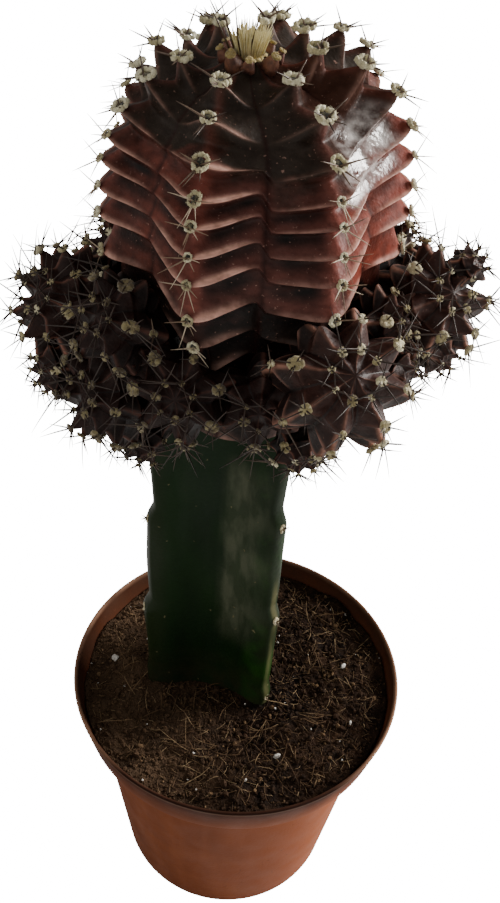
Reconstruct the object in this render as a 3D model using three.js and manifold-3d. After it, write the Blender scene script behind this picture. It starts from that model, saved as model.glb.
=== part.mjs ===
// Potted moon cactus: a plum-brown head with its ring of ten offsets, grafted on a green
// three-winged rootstock that stands in peat in a small terracotta-coloured pot.
// Millimetres, +Z up. The origin is the middle of the pot's flat base and -Y is the front.

import * as THREE from 'three';
import { mergeVertices } from 'three/addons/utils/BufferGeometryUtils.js';
import Module from 'manifold-3d';

const wasm = await Module();
wasm.setup();

// Driving dimensions

// Clearance between pieces, growth of a head's seat in its neighbours, and room round spines.
const CLEARANCE = 0.3;
const SEAT_SWELL = 0.6;
const SPINE_ROOM = 1.2;

const POT = {
  height: 68,
  rimRadius: 42.5,
  baseRadius: 29.4,
  lipHeight: 10.6,
  lipBottomRadius: 40.1,
  bodyTopRadius: 36.8,
  wall: 1,
  floor: 1.6,
  edge: 0.5,
  facets: 40,
  drainCount: 6,
  drainRadius: 3,
  drainCircle: 17,
  drainFacets: 12,
};

// The soil lies higher on the right, by its slope, and has low mounds.
const SOIL = {
  level: 63.2,
  slope: 0.025,
  unevenness: 0.8,
  waves: { x: 0.23, y: 0.19, cross: 0.5, phase: 1.1 },
  rings: [0.25, 0.5, 0.75, 1],
};

// The stem's three wings carry areoles one pitch apart. Over each areole a wing's edge steps
// in, and it grows out again up to the next one. The stem is a little narrower in its waist.
const STOCK = {
  axis: new THREE.Vector2(-5, 4),
  foot: 22,
  top: 154,
  bare: 2,
  valleyRadius: 7.1,
  ribThickness: 7.6,
  shoulder: { out: 0.72, thickness: 6.5 },
  crestThickness: 4.6,
  crestRound: { deep: 1.4, shallow: 0.3 },
  lowestAreole: 60.4,
  areolePitch: 30,
  areoleStagger: 5.6,
  scallop: 0.7,
  areoleStep: 0.15,
  waveRise: 6,
  waist: { from: 100, full: 125, depth: 1.2 },
  topFlare: 0.6,
  flareHeight: 14,
  rowPitch: 4.2,
  wings: [
    { bearing: 195, reach: 19.4 },
    { bearing: 319, reach: 17.4 },
    { bearing: 78, reach: 20 },
  ],
};

// What all heads share: how the foot narrows, where the dimple starts, how the tubercles
// fall and rise between two levels, how the relief fades at the apex and the foot, and
// between which latitudes the tubercles and the shoulder lifts grow to their full size.
const RELIEF = {
  narrowing: 1.2,
  dimpleFrom: 70,
  leanFrom: 0.8,
  chin: 0.3,
  rampPower: 1.4,
  furrowPleat: 0.5,
  underTilt: 0.5,
  apexFade: 0.4,
  footFade: 25,
  crownFrom: 30,
  crownFull: 65,
  shoulderFrom: 15,
  shoulderFull: 45,
  crestPleat: 0.35,
};

// How the spines of an areole scatter, and how their roots sit on its faces.
const SPINE = {
  turnSpread: 24,
  riseSpread: 0.35,
  lengthSpread: 0.4,
  rootShift: 0.12,
  widestRoot: 0.5,
  tests: [0, 0.25, 0.5, 0.75, 1],
};

// The grafted head: radii run to the tips of the tubercles, bearings are counted from the
// front towards +X, and levels are the latitudes of the areoles on every rib. Towards the
// crown each rib turns by its crown turn, its shoulder stands higher by its lift, and the
// apex stands off the axis by its shift.
const HEAD = {
  name: 'scion_head',
  centre: new THREE.Vector3(-3.6, 0.1, 200),
  radius: 27.7,
  up: 28.6,
  flatness: 0.64,
  footRadius: 12.5,
  footDrop: 200 - STOCK.top - CLEARANCE,
  lean: 9,
  ribs: [-72, -19.5, 33.5, 87, 128, 168, 208, 248],
  crownTurns: [0, 0, 8, 0, 0, 0, 0, 0],
  lifts: [0, 0, -0.5, 3.6, 3.4, 0.5, -1, -0.8],
  apexShift: -2.5,
  levels: [76, 60, 44, 32, 23, 12.5, 2, -14, -31, -48, -64],
  furrow: 0.1,
  fullness: 1,
  tooth: 2,
  toothWidth: 0.34,
  crownTooth: 1.2,
  crownWidth: 0.16,
  pleat: 0.7,
  dimple: 1.8,
  columns: [0.3],
  rowSteps: [0, 0.22, 0.6],
  spines: { length: 4.6, radius: 0.36, turns: [75, 180, -75], rise: 0.5, lowest: -32 },
  seed: 11,
};

// The offsets: up, footRadius, footDrop and neckRadius are shares of an offset's own radius.
const OFFSET = {
  lean: 0,
  apexShift: 0,
  up: 0.86,
  footRadius: 0.3,
  footDrop: 1.1,
  flatness: 0.66,
  furrow: 0.2,
  fullness: 1.3,
  tooth: 1.9,
  toothWidth: 0.48,
  crownTooth: 0,
  crownWidth: 0,
  pleat: 0.3,
  dimple: 1.2,
  columns: [0.5],
  rowSteps: [0, 0.3],
  levels: [79, 50, 20, -12],
  spines: { length: 4.2, radius: 0.34, turns: [55, -115], rise: 0.6, lowest: -40 },
  neckRadius: 0.34,
  neckDrop: 3,
  neckFacets: 8,
  seed: 31,
};

const OFFSETS = [
  { place: 'front_right', centre: [13.4, -20.5, 175.9], radius: 13.6, aim: [0.24, -0.7, 0.68], ribs: 8 },
  { place: 'right', centre: [30.6, 0.4, 181.2], radius: 11.6, aim: [0.4, -0.62, 0.68], ribs: 7 },
  { place: 'right_small', centre: [21.8, -7.6, 180.6], radius: 8.4, aim: [0.7, -0.5, 0.5], ribs: 6 },
  { place: 'left', centre: [-36.6, -0.8, 175.8], radius: 12.2, aim: [-0.62, -0.52, 0.58], ribs: 8 },
  { place: 'front_left', centre: [-27.4, -13, 165.2], radius: 11, aim: [-0.6, -0.7, 0.35], ribs: 7 },
  { place: 'left_small', centre: [-25.4, -14, 181.3], radius: 9.8, aim: [-0.5, -0.66, 0.55], ribs: 6 },
  { place: 'front', centre: [-13.4, -18.4, 170.6], radius: 10.6, aim: [-0.15, -0.9, 0.35], ribs: 7 },
  { place: 'front_small', centre: [0, -18.8, 170], radius: 9.2, aim: [0.05, -0.9, 0.2], ribs: 6 },
  { place: 'back_right', centre: [21.4, 18.6, 181], radius: 10.6, aim: [0.6, 0.55, 0.6], ribs: 7 },
  { place: 'back', centre: [-0.6, 24.2, 173.4], radius: 9.6, aim: [0, 0.9, 0.45], ribs: 6 },
  { place: 'back_left', centre: [-27.4, 16.4, 178.2], radius: 10.2, aim: [-0.6, 0.6, 0.55], ribs: 7 },
];

const COLOURS = {
  pot: { color: 0xa8593a, roughness: 0.55 },
  soil: { color: 0x2c1d14, roughness: 1 },
  rootstock: { color: 0x24401f, roughness: 0.45 },
  scion_head: { color: 0x5a2b28, roughness: 0.55 },
  offset: { color: 0x33201f, roughness: 0.6 },
};

// Small helpers

const UPRIGHT = new THREE.Vector3(0, 0, 1);
const radians = THREE.MathUtils.degToRad;

function smooth(x) {
  const s = THREE.MathUtils.clamp(x, 0, 1);
  return s * s * (3 - 2 * s);
}

function seededRandom(seed) {
  let state = seed;
  return () => {
    state = (state * 1664525 + 1013904223) % 4294967296;
    return state / 4294967296;
  };
}

function toSolid(geometry) {
  const bare = geometry.clone();
  bare.deleteAttribute('normal');
  bare.deleteAttribute('uv');
  const merged = mergeVertices(bare, 1e-4);
  return new wasm.Manifold(new wasm.Mesh({
    numProp: 3,
    vertProperties: new Float32Array(merged.attributes.position.array),
    triVerts: new Uint32Array(merged.index.array),
  }));
}

function toGeometry(solid) {
  const mesh = solid.getMesh();
  const geometry = new THREE.BufferGeometry();
  geometry.setAttribute('position', new THREE.BufferAttribute(new Float32Array(mesh.vertProperties), 3));
  geometry.setIndex(new THREE.BufferAttribute(new Uint32Array(mesh.triVerts), 1));
  geometry.computeVertexNormals();
  return geometry;
}

function fromFaces(points, faces) {
  const geometry = new THREE.BufferGeometry();
  geometry.setAttribute('position', new THREE.Float32BufferAttribute(points.flatMap((p) => p.toArray()), 3));
  geometry.setIndex(faces.flat());
  geometry.computeVertexNormals();
  return geometry;
}

// Closes a stack of equal rings, listed from the bottom up and turning counter-clockwise
// seen from above, with a middle point at each end. Returns its points and its faces.
function closedStack(rings, bottom, top) {
  const count = rings[0].length;
  const points = [...rings.flat(), bottom, top];
  const last = rings.length - 1;
  const faces = [];
  for (let i = 0; i < count; i += 1) {
    const next = (i + 1) % count;
    for (let row = 0; row < last; row += 1) {
      const a = row * count + i;
      const b = row * count + next;
      faces.push([a, b, b + count], [a, b + count, a + count]);
    }
    faces.push([points.length - 2, next, i]);
    faces.push([points.length - 1, last * count + i, last * count + next]);
  }
  return { points, faces };
}

// Keeps the largest connected body of a cut solid, so that no loose scrap stays behind.
function largestBody(geometry) {
  const index = geometry.index.array;
  const owner = Array.from({ length: geometry.attributes.position.count }, (_, i) => i);
  const find = (i) => {
    let root = i;
    while (owner[root] !== root) {
      root = owner[root];
    }
    owner[i] = root;
    return root;
  };
  for (let f = 0; f < index.length; f += 3) {
    owner[find(index[f + 1])] = find(index[f]);
    owner[find(index[f + 2])] = find(index[f]);
  }
  const bodies = new Map();
  for (let f = 0; f < index.length; f += 3) {
    const root = find(index[f]);
    bodies.set(root, [...(bodies.get(root) ?? []), index[f], index[f + 1], index[f + 2]]);
  }
  const largest = [...bodies.values()].sort((a, b) => b.length - a.length)[0];
  const kept = geometry.clone();
  kept.setIndex(largest);
  return kept;
}

// Pot: one thin moulded shell with a deeper collar at the rim

const COLLAR = POT.height - POT.lipHeight;
const STEP = COLLAR + POT.wall;

// Radii of the pot's inner wall: the body below the step and the collar above it.
function innerRadius(z) {
  const share = (z - POT.floor) / (STEP - POT.floor);
  return THREE.MathUtils.lerp(POT.baseRadius, POT.bodyTopRadius, share) - POT.wall;
}

function collarRadius(z) {
  const share = (z - STEP) / (POT.height - STEP);
  return THREE.MathUtils.lerp(POT.lipBottomRadius, POT.rimRadius, share) - POT.wall;
}

function potShell() {
  const profile = [
    [0, 0],
    [POT.baseRadius - POT.edge, 0],
    [POT.baseRadius, POT.edge],
    [POT.bodyTopRadius, COLLAR],
    [POT.lipBottomRadius, COLLAR],
    [POT.rimRadius, POT.height - POT.edge],
    [POT.rimRadius - POT.edge, POT.height],
    [collarRadius(POT.height), POT.height],
    [collarRadius(STEP), STEP],
    [innerRadius(STEP), STEP],
    [innerRadius(POT.floor), POT.floor],
    [0, POT.floor],
  ];
  const shell = new THREE.LatheGeometry(profile.map(([r, z]) => new THREE.Vector2(r, z)), POT.facets);
  shell.rotateX(Math.PI / 2);
  let solid = toSolid(shell);
  for (let i = 0; i < POT.drainCount; i += 1) {
    const angle = radians(360 * i / POT.drainCount);
    const { drainRadius, drainFacets } = POT;
    const drill = new THREE.CylinderGeometry(drainRadius, drainRadius, 3 * POT.floor, drainFacets);
    drill.rotateX(Math.PI / 2);
    drill.translate(POT.drainCircle * Math.cos(angle), POT.drainCircle * Math.sin(angle), POT.floor / 2);
    solid = solid.subtract(toSolid(drill));
  }
  return toGeometry(solid);
}

// Rootstock: a three-winged stem whose wings grow out between their areoles

const STEM_START = SOIL.level + STOCK.bare;

function wingWave(z, i) {
  const phase = (z - STOCK.lowestAreole - STOCK.areoleStagger * i) / STOCK.areolePitch;
  const share = phase - Math.floor(phase);
  const { areoleStep } = STOCK;
  const stepIn = 1 - 2 * smooth(share / areoleStep);
  const growOut = 2 * (share - areoleStep) / (1 - areoleStep) - 1;
  const wave = share < areoleStep ? stepIn : growOut;
  return STOCK.scallop * wave * smooth((z - STEM_START) / STOCK.waveRise);
}

function stockOutline(z, swell) {
  const outline = [];
  const half = STOCK.ribThickness / 2 + swell;
  const shoulder = STOCK.shoulder.thickness / 2 + swell;
  const crest = STOCK.crestThickness / 2 + swell;
  const { deep, shallow } = STOCK.crestRound;
  const { waist } = STOCK;
  STOCK.wings.forEach((wing, i) => {
    const flare = STOCK.topFlare * smooth(1 + (z - STOCK.top) / STOCK.flareHeight);
    const narrowing = waist.depth * smooth((z - waist.from) / (waist.full - waist.from));
    const reach = wing.reach + swell + wingWave(z, i) + flare - narrowing;
    const along = new THREE.Vector2(Math.cos(radians(wing.bearing)), Math.sin(radians(wing.bearing)));
    const across = new THREE.Vector2(-along.y, along.x);
    const place = (out, side) => outline.push(
      STOCK.axis.clone().addScaledVector(along, out).addScaledVector(across, side),
    );
    place(STOCK.valleyRadius, -half);
    place(reach * STOCK.shoulder.out, -shoulder);
    place(reach - deep, -crest);
    place(reach - shallow, -crest / 2);
    place(reach - shallow, crest / 2);
    place(reach - deep, crest);
    place(reach * STOCK.shoulder.out, shoulder);
    place(STOCK.valleyRadius, half);
  });
  return outline;
}

function stockSolid(heights, swell) {
  const rings = heights.map((z) => stockOutline(z, swell).map((p) => new THREE.Vector3(p.x, p.y, z)));
  const middle = (z) => new THREE.Vector3(STOCK.axis.x, STOCK.axis.y, z);
  const stack = closedStack(rings, middle(heights[0]), middle(heights[heights.length - 1]));
  return fromFaces(stack.points, stack.faces);
}

function stemRows() {
  const steps = Math.round((STOCK.top - STEM_START) / STOCK.rowPitch);
  return Array.from({ length: steps + 1 }, (_, i) => THREE.MathUtils.lerp(STEM_START, STOCK.top, i / steps));
}

// Soil: fills the pot, with a plain hole of the stem's own outline

function soilPlug() {
  const bottom = POT.floor + CLEARANCE;
  const shelf = STEP + CLEARANCE;
  const ring = (reach, height) => {
    const points = [];
    for (let i = 0; i < POT.facets; i += 1) {
      const way = new THREE.Vector3(1, 0, 0).applyAxisAngle(UPRIGHT, 2 * Math.PI * i / POT.facets);
      const { x, y } = way.clone().multiplyScalar(reach(way));
      points.push(new THREE.Vector3(x, y, height(x, y)));
    }
    return points;
  };
  const { waves } = SOIL;
  const rough = (x, y) => {
    const mounds = Math.sin(waves.x * x + waves.phase) * Math.cos(waves.y * y);
    const bumps = mounds + Math.sin(waves.cross * y - waves.x * x) / 2;
    return SOIL.level + SOIL.slope * x + SOIL.unevenness * bumps;
  };
  const wallAt = (way) => collarRadius(rough(way.x * POT.lipBottomRadius, way.y * POT.lipBottomRadius));
  const rings = [
    ring(() => innerRadius(bottom) - CLEARANCE, () => bottom),
    ring(() => innerRadius(STEP) - CLEARANCE, () => shelf),
    ring(() => collarRadius(STEP) - CLEARANCE, () => shelf),
  ];
  for (const share of [...SOIL.rings].reverse()) {
    rings.push(ring((way) => share * (wallAt(way) - CLEARANCE), rough));
  }
  const plug = closedStack(rings, new THREE.Vector3(0, 0, bottom), new THREE.Vector3(0, 0, SOIL.level));
  const hole = stockSolid([STOCK.foot - CLEARANCE, STEM_START], CLEARANCE);
  return toGeometry(toSolid(fromFaces(plug.points, plug.faces)).subtract(toSolid(hole)));
}

// Heads: ribbed globes with a tubercle at every areole

// Distance of the tubercle tips from the axis, and their height over the centre, at a latitude.
function envelope(head, latitude) {
  const t = radians(Math.max(latitude, 0));
  if (latitude >= 0) {
    const dip = head.dimple * smooth((latitude - RELIEF.dimpleFrom) / (90 - RELIEF.dimpleFrom));
    return [head.radius * Math.cos(t) ** head.flatness, head.up * Math.sin(t) - dip];
  }
  const share = -latitude / 90;
  const narrowing = smooth(share) ** RELIEF.narrowing;
  return [head.radius - (head.radius - head.footRadius) * narrowing, -head.footDrop * share];
}

// Columns run from crest to furrow and on to the next crest; psi is 0 on a crest, 1 in a furrow.
function headColumns(head) {
  const columns = [];
  const { lerp } = THREE.MathUtils;
  head.ribs.forEach((bearing, i) => {
    const following = (i + 1) % head.ribs.length;
    const next = head.ribs[following] + (following === 0 ? 360 : 0);
    const steps = [0, ...head.columns, 1, ...[...head.columns].reverse().map((psi) => -psi)];
    for (const psi of steps) {
      const share = (psi >= 0 ? psi : 2 + psi) / 2;
      const crownTurn = lerp(head.crownTurns[i], head.crownTurns[following], share);
      const lift = lerp(head.lifts[i], head.lifts[following], share);
      columns.push({ bearing: lerp(bearing, next, share), crownTurn, lift, psi: Math.abs(psi) });
    }
  });
  return columns;
}

// Rows run down from the apex; step is 0 at a level of areoles and grows to 1 at the next.
function headRows(head) {
  const rows = [{ latitude: (90 + head.levels[0]) / 2, step: 0.75 }];
  head.levels.forEach((latitude, k) => {
    const next = head.levels[k + 1] ?? -90;
    for (const step of head.rowSteps) {
      rows.push({ latitude: latitude + (next - latitude) * step, step });
    }
  });
  rows.push({ latitude: -90, step: 0.5 });
  return rows;
}

// A tubercle drops steeply under its areole and ramps up slowly to the next one.
function toothHeight(step) {
  const { chin, rampPower } = RELIEF;
  return step < chin ? 1 - smooth(step / chin) : ((step - chin) / (1 - chin)) ** rampPower;
}

function headPoint(head, column, row, swell = 0) {
  const [radius, height] = envelope(head, row.latitude);
  const footFade = smooth((row.latitude + 90) / RELIEF.footFade);
  const fade = footFade * smooth(radius / (RELIEF.apexFade * head.radius));
  const valley = column.psi ** head.fullness;
  const crown = smooth((row.latitude - RELIEF.crownFrom) / (RELIEF.crownFull - RELIEF.crownFrom));
  const width = head.toothWidth + head.crownWidth * crown;
  const tooth = Math.exp(-((column.psi / width) ** 2)) * toothHeight(row.step) - 1;
  const flank = THREE.MathUtils.lerp(RELIEF.crestPleat, 1, smooth(column.psi / head.toothWidth));
  const pleat = flank * Math.cos(2 * Math.PI * row.step) * (1 - RELIEF.furrowPleat * column.psi);
  const relief = (head.tooth + head.crownTooth * crown) * tooth + head.pleat * pleat
    - head.furrow * radius * valley;
  const tilt = radians(row.latitude > 0 ? row.latitude : row.latitude * RELIEF.underTilt);
  const out = radius + (relief * fade + swell) * Math.cos(tilt);
  const { shoulderFrom, shoulderFull } = RELIEF;
  const shoulder = smooth((row.latitude - shoulderFrom) / (shoulderFull - shoulderFrom));
  const lift = column.lift * shoulder * radius / head.radius;
  const rise = height + lift + (relief * fade + swell) * Math.sin(tilt);
  const bearing = radians(column.bearing + column.crownTurn * crown);
  const shift = head.apexShift * smooth((row.latitude - RELIEF.crownFrom) / (90 - RELIEF.crownFrom));
  const place = new THREE.Vector3(out * Math.sin(bearing) + shift, -out * Math.cos(bearing), rise);
  return placeOnHead(head, place);
}

// The upper part of a head may lean to the front; its foot stays level.
function lean(head, point, way) {
  const share = smooth(1 + point.z / (head.footDrop * RELIEF.leanFrom));
  return point.clone().applyAxisAngle(new THREE.Vector3(1, 0, 0), way * radians(head.lean * share));
}

function placeOnHead(head, point) {
  return lean(head, point, 1).applyQuaternion(head.turn).add(head.centre);
}

function headSurface(head) {
  const columns = headColumns(head);
  const rows = headRows(head).reverse();
  const rings = rows.map((row) => columns.map((column) => headPoint(head, column, row)));
  const apex = new THREE.Vector3(head.apexShift, 0, head.up - head.dimple);
  const foot = new THREE.Vector3(0, 0, -head.footDrop);
  const stack = closedStack(rings, placeOnHead(head, foot), placeOnHead(head, apex));
  return { ...stack, columns, rows };
}

// The seat that a head leaves in its neighbours: its crests and furrows without the relief.
function headSeat(head) {
  const plain = { ...head, columns: [], rowSteps: [0], pleat: 0, tooth: 0, crownTooth: 0 };
  const columns = headColumns(plain);
  const rows = headRows(plain).reverse();
  const rings = rows.map((row) => columns.map((column) => headPoint(plain, column, row, SEAT_SWELL)));
  const apex = new THREE.Vector3(head.apexShift, 0, head.up + SEAT_SWELL);
  const foot = new THREE.Vector3(0, 0, -head.footDrop - SEAT_SWELL);
  const stack = closedStack(rings, placeOnHead(plain, foot), placeOnHead(plain, apex));
  return fromFaces(stack.points, stack.faces);
}

// True where a point lies inside a head's outline grown by a margin.
function insideHead(head, point, margin) {
  const local = lean(head, point.clone().sub(head.centre).applyQuaternion(head.turn.clone().invert()), -1);
  const grown = local.z > 0 ? head.up + margin : head.footDrop + margin;
  if (Math.abs(local.z) >= grown) {
    return false;
  }
  const latitude = local.z > 0 ? THREE.MathUtils.radToDeg(Math.asin(local.z / grown)) : 90 * local.z / grown;
  return Math.hypot(local.x, local.y) < envelope(head, latitude)[0] + margin;
}

function nearStock(point) {
  const away = Math.hypot(point.x - STOCK.axis.x, point.y - STOCK.axis.y);
  return point.z < STOCK.top + SPINE_ROOM && away < STOCK.wings[0].reach + SPINE_ROOM;
}

// Raises a three-sided needle from the face beside a point that looks most along a direction.
function raiseNeedle(surface, vertex, direction, length, radius) {
  const { points, faces } = surface;
  const root = points[vertex];
  let best = -1;
  let bestTurn = -Infinity;
  let middle = null;
  faces.forEach((face, f) => {
    if (!face.includes(vertex) || face.some((corner) => corner >= surface.plainCount)) {
      return;
    }
    const centre = face.reduce((sum, corner) => sum.add(points[corner]), new THREE.Vector3()).divideScalar(3);
    const turn = centre.clone().sub(root).normalize().dot(direction);
    if (turn > bestTurn) {
      best = f;
      bestTurn = turn;
      middle = centre;
    }
  });
  if (best < 0) {
    return;
  }
  const face = faces[best];
  const spread = face.reduce((sum, corner) => sum + points[corner].distanceTo(middle), 0) / 3;
  const share = Math.min(radius / spread, SPINE.widestRoot);
  const shift = middle.clone().sub(root).multiplyScalar(share + SPINE.rootShift).add(root);
  const start = points.length;
  for (const corner of face) {
    points.push(points[corner].clone().sub(middle).multiplyScalar(share).add(shift));
  }
  points.push(root.clone().addScaledVector(direction, length));
  const ring = [];
  for (let k = 0; k < 3; k += 1) {
    const next = (k + 1) % 3;
    ring.push([face[k], face[next], start + next], [face[k], start + next, start + k]);
    ring.push([start + k, start + next, start + 3]);
  }
  faces.splice(best, 1, ...ring);
}

// Spines spread from each areole; those that would run into a neighbour are left off.
function raiseSpines(head, surface, neighbours) {
  const random = seededRandom(head.seed);
  const { columns, rows } = surface;
  rows.forEach((row, j) => {
    if (row.step !== 0 || row.latitude < head.spines.lowest) {
      return;
    }
    columns.forEach((column, i) => {
      if (column.psi > 0) {
        return;
      }
      const vertex = j * columns.length + i;
      const root = surface.points[vertex];
      const outward = headPoint(head, column, row, 1).sub(root).normalize();
      const upward = headPoint(head, column, { latitude: row.latitude + 1, step: 0 }).sub(root);
      upward.addScaledVector(outward, -upward.dot(outward)).normalize();
      for (const turn of head.spines.turns) {
        const angle = radians(turn + SPINE.turnSpread * (random() - 0.5));
        const direction = upward.clone().applyAxisAngle(outward, angle);
        direction.addScaledVector(outward, head.spines.rise + SPINE.riseSpread * random()).normalize();
        const length = head.spines.length * (1 + SPINE.lengthSpread * (random() - 0.5));
        const along = SPINE.tests.map((share) => root.clone().addScaledVector(direction, share * length));
        const blocked = neighbours.some((other) => along.some((p) => insideHead(other, p, SPINE_ROOM)));
        if (!blocked && !along.some(nearStock)) {
          raiseNeedle(surface, vertex, direction, length, head.spines.radius);
        }
      }
    });
  });
}

function offsetHead(entry, i) {
  const aim = new THREE.Vector3(...entry.aim).normalize();
  const turn = new THREE.Quaternion().setFromUnitVectors(UPRIGHT, aim);
  const ribs = Array.from({ length: entry.ribs }, (_, k) => 360 * k / entry.ribs);
  return {
    ...OFFSET,
    name: `offset_${entry.place}`,
    centre: new THREE.Vector3(...entry.centre),
    radius: entry.radius,
    up: entry.radius * OFFSET.up,
    footRadius: entry.radius * OFFSET.footRadius,
    footDrop: entry.radius * OFFSET.footDrop,
    neckRadius: entry.radius * OFFSET.neckRadius,
    ribs,
    crownTurns: ribs.map(() => 0),
    lifts: ribs.map(() => 0),
    turn,
    seed: OFFSET.seed + i,
  };
}

// The short neck by which an offset grows from the head.
function offsetNeck(offset, swell) {
  const end = new THREE.Vector3(HEAD.centre.x, HEAD.centre.y, offset.centre.z - OFFSET.neckDrop);
  const way = end.clone().sub(offset.centre);
  const radius = offset.neckRadius + swell;
  const neck = new THREE.CylinderGeometry(radius, radius, way.length(), OFFSET.neckFacets);
  neck.translate(0, way.length() / 2, 0);
  const up = new THREE.Vector3(0, 1, 0);
  neck.applyQuaternion(new THREE.Quaternion().setFromUnitVectors(up, way.normalize()));
  neck.translate(...offset.centre.toArray());
  return neck;
}

// Every head is cut clear of the ones placed before it, so each sits in its own seat.
function allHeads() {
  const heads = [{ ...HEAD, turn: new THREE.Quaternion() }, ...OFFSETS.map(offsetHead)];
  const placed = [];
  const stock = toSolid(stockSolid([...stemRows(), STOCK.top + CLEARANCE], CLEARANCE));
  return heads.map((head) => {
    const surface = headSurface(head);
    surface.plainCount = surface.points.length;
    raiseSpines(head, surface, heads.filter((other) => other !== head));
    let solid = toSolid(fromFaces(surface.points, surface.faces));
    let seat = toSolid(headSeat(head));
    if (head.neckRadius) {
      solid = solid.add(toSolid(offsetNeck(head, 0))).subtract(stock);
      seat = seat.add(toSolid(offsetNeck(head, SEAT_SWELL)));
    }
    for (const other of placed) {
      solid = solid.subtract(other);
    }
    placed.push(seat);
    return { name: head.name, geometry: largestBody(toGeometry(solid)) };
  });
}

// Assembly

function piece(name, geometry, finish) {
  const mesh = new THREE.Mesh(geometry, new THREE.MeshStandardMaterial({ ...finish, metalness: 0 }));
  mesh.name = name;
  return mesh;
}

const group = new THREE.Group();
group.add(piece('pot', potShell(), COLOURS.pot));
group.add(piece('soil', soilPlug(), COLOURS.soil));
group.add(piece('rootstock', stockSolid([STOCK.foot, ...stemRows()], 0), COLOURS.rootstock));
for (const head of allHeads()) {
  group.add(piece(head.name, head.geometry, COLOURS[head.name] ?? COLOURS.offset));
}

export default group;
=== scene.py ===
import math
import random

import bpy
import numpy as np
from mathutils import Euler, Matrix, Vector, noise


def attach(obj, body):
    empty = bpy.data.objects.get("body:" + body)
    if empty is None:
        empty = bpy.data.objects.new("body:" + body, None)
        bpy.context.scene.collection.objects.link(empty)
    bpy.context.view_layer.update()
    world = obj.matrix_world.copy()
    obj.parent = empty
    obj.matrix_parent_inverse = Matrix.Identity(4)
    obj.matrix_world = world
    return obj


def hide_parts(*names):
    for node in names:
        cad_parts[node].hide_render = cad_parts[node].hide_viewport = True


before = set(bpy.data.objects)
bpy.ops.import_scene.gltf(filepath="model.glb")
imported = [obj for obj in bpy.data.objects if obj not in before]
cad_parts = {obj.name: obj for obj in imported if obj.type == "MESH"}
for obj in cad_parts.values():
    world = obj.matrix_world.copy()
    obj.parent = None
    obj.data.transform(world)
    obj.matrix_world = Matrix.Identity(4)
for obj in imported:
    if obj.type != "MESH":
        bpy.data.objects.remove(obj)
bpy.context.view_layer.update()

# Pot: a small grower's pot of terracotta-coloured plastic, moulded in one shot. It has a
# thin wall, a deeper collar at the rim and six drain holes in its flat floor, on which it
# stands. Lengths are in millimetres throughout, and turn into metres where a mesh is made.
MM = 0.001
POT_SIDES = 176
POT_STRAIGHT = 4
FILLET_STEPS = 5
POT_CORNERS = [
    # radius, height, fillet
    (25.6, 0.4, 0.6),
    (26.6, 0, 0.4),
    (29.3, 0, 1.0),
    (36.8, 57.4, 0.7),
    (40.05, 57.5, 0.7),
    (42.45, 67.95, 0.45),
    (41.5, 68, 0.4),
    (39.1, 58.4, 0.9),
    (35.8, 58.4, 0.7),
    (28.4, 1.6, 1.6),
]
POT_FLOOR = (0.4, 1.6)
COLLAR_TAPER = 0.23
COLLAR_INSIDE = (26.5, 26.1)
DRAIN_COUNT = 6
DRAIN_CIRCLE = 17
DRAIN_RADIUS = 3
DRILL_SIDES = 36
DRILL_START = -2
DRILL_LENGTH = 6


def put(tree, kind, inputs=None, **settings):
    """Adds a node to a tree. Its inputs are numbers, colours, or the sockets that feed them."""
    made = tree.nodes.new(kind)
    for name, value in settings.items():
        setattr(made, name, value)
    for key, value in (inputs or {}).items():
        if isinstance(value, bpy.types.NodeSocket):
            tree.links.new(value, made.inputs[key])
        else:
            made.inputs[key].default_value = value
    return made


def tone(red, green, blue):
    """A colour given as a screen shows it, from 0 to 255, as the light it stands for."""
    parts = (red / 255, green / 255, blue / 255)
    return (*(c / 12.92 if c < 0.04 else ((c + 0.055) / 1.055) ** 2.4 for c in parts), 1)


def start_group(name, inputs, output):
    """A node group with a place and some numbers for inputs and one value for output."""
    group = bpy.data.node_groups.new(name, "ShaderNodeTree")
    group.interface.new_socket(name="Place", in_out="INPUT", socket_type="NodeSocketVector")
    for label, start in inputs.items():
        socket = group.interface.new_socket(name=label, in_out="INPUT", socket_type="NodeSocketFloat")
        socket.default_value = start
    group.interface.new_socket(name=output, in_out="OUTPUT", socket_type="NodeSocketFloat")
    return group, put(group, "NodeGroupInput").outputs, put(group, "NodeGroupOutput").inputs[output]


def make_patches():
    """Soft-edged patches of uneven tone: a noise between a lower and an upper cut."""
    group, given, mask = start_group("patches", {"Scale": 100, "Low": 0.4, "High": 0.6}, "Mask")
    cloud = put(group, "ShaderNodeTexNoise", {"Vector": given["Place"], "Scale": given["Scale"], "Detail": 4})
    cuts = {"Value": cloud.outputs[0], "From Min": given["Low"], "From Max": given["High"]}
    group.links.new(put(group, "ShaderNodeMapRange", cuts).outputs[0], mask)
    return group


def make_grain():
    """Fine relief: a fine noise with small rounded pits between its grains."""
    group, given, height = start_group("grain", {"Scale": 1500, "Pits": 0.4}, "Height")
    fine = put(group, "ShaderNodeTexNoise", {"Vector": given["Place"], "Scale": given["Scale"], "Detail": 3})
    cells = put(group, "ShaderNodeTexVoronoi", {"Vector": given["Place"], "Scale": given["Scale"]})
    depth = {0: cells.outputs["Distance"], 1: given["Pits"]}
    pits = put(group, "ShaderNodeMath", depth, operation="MULTIPLY")
    group.links.new(put(group, "ShaderNodeMath", {0: fine.outputs[0], 1: pits.outputs[0]}).outputs[0], height)
    return group


PATCHES = make_patches()
GRAIN = make_grain()


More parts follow.
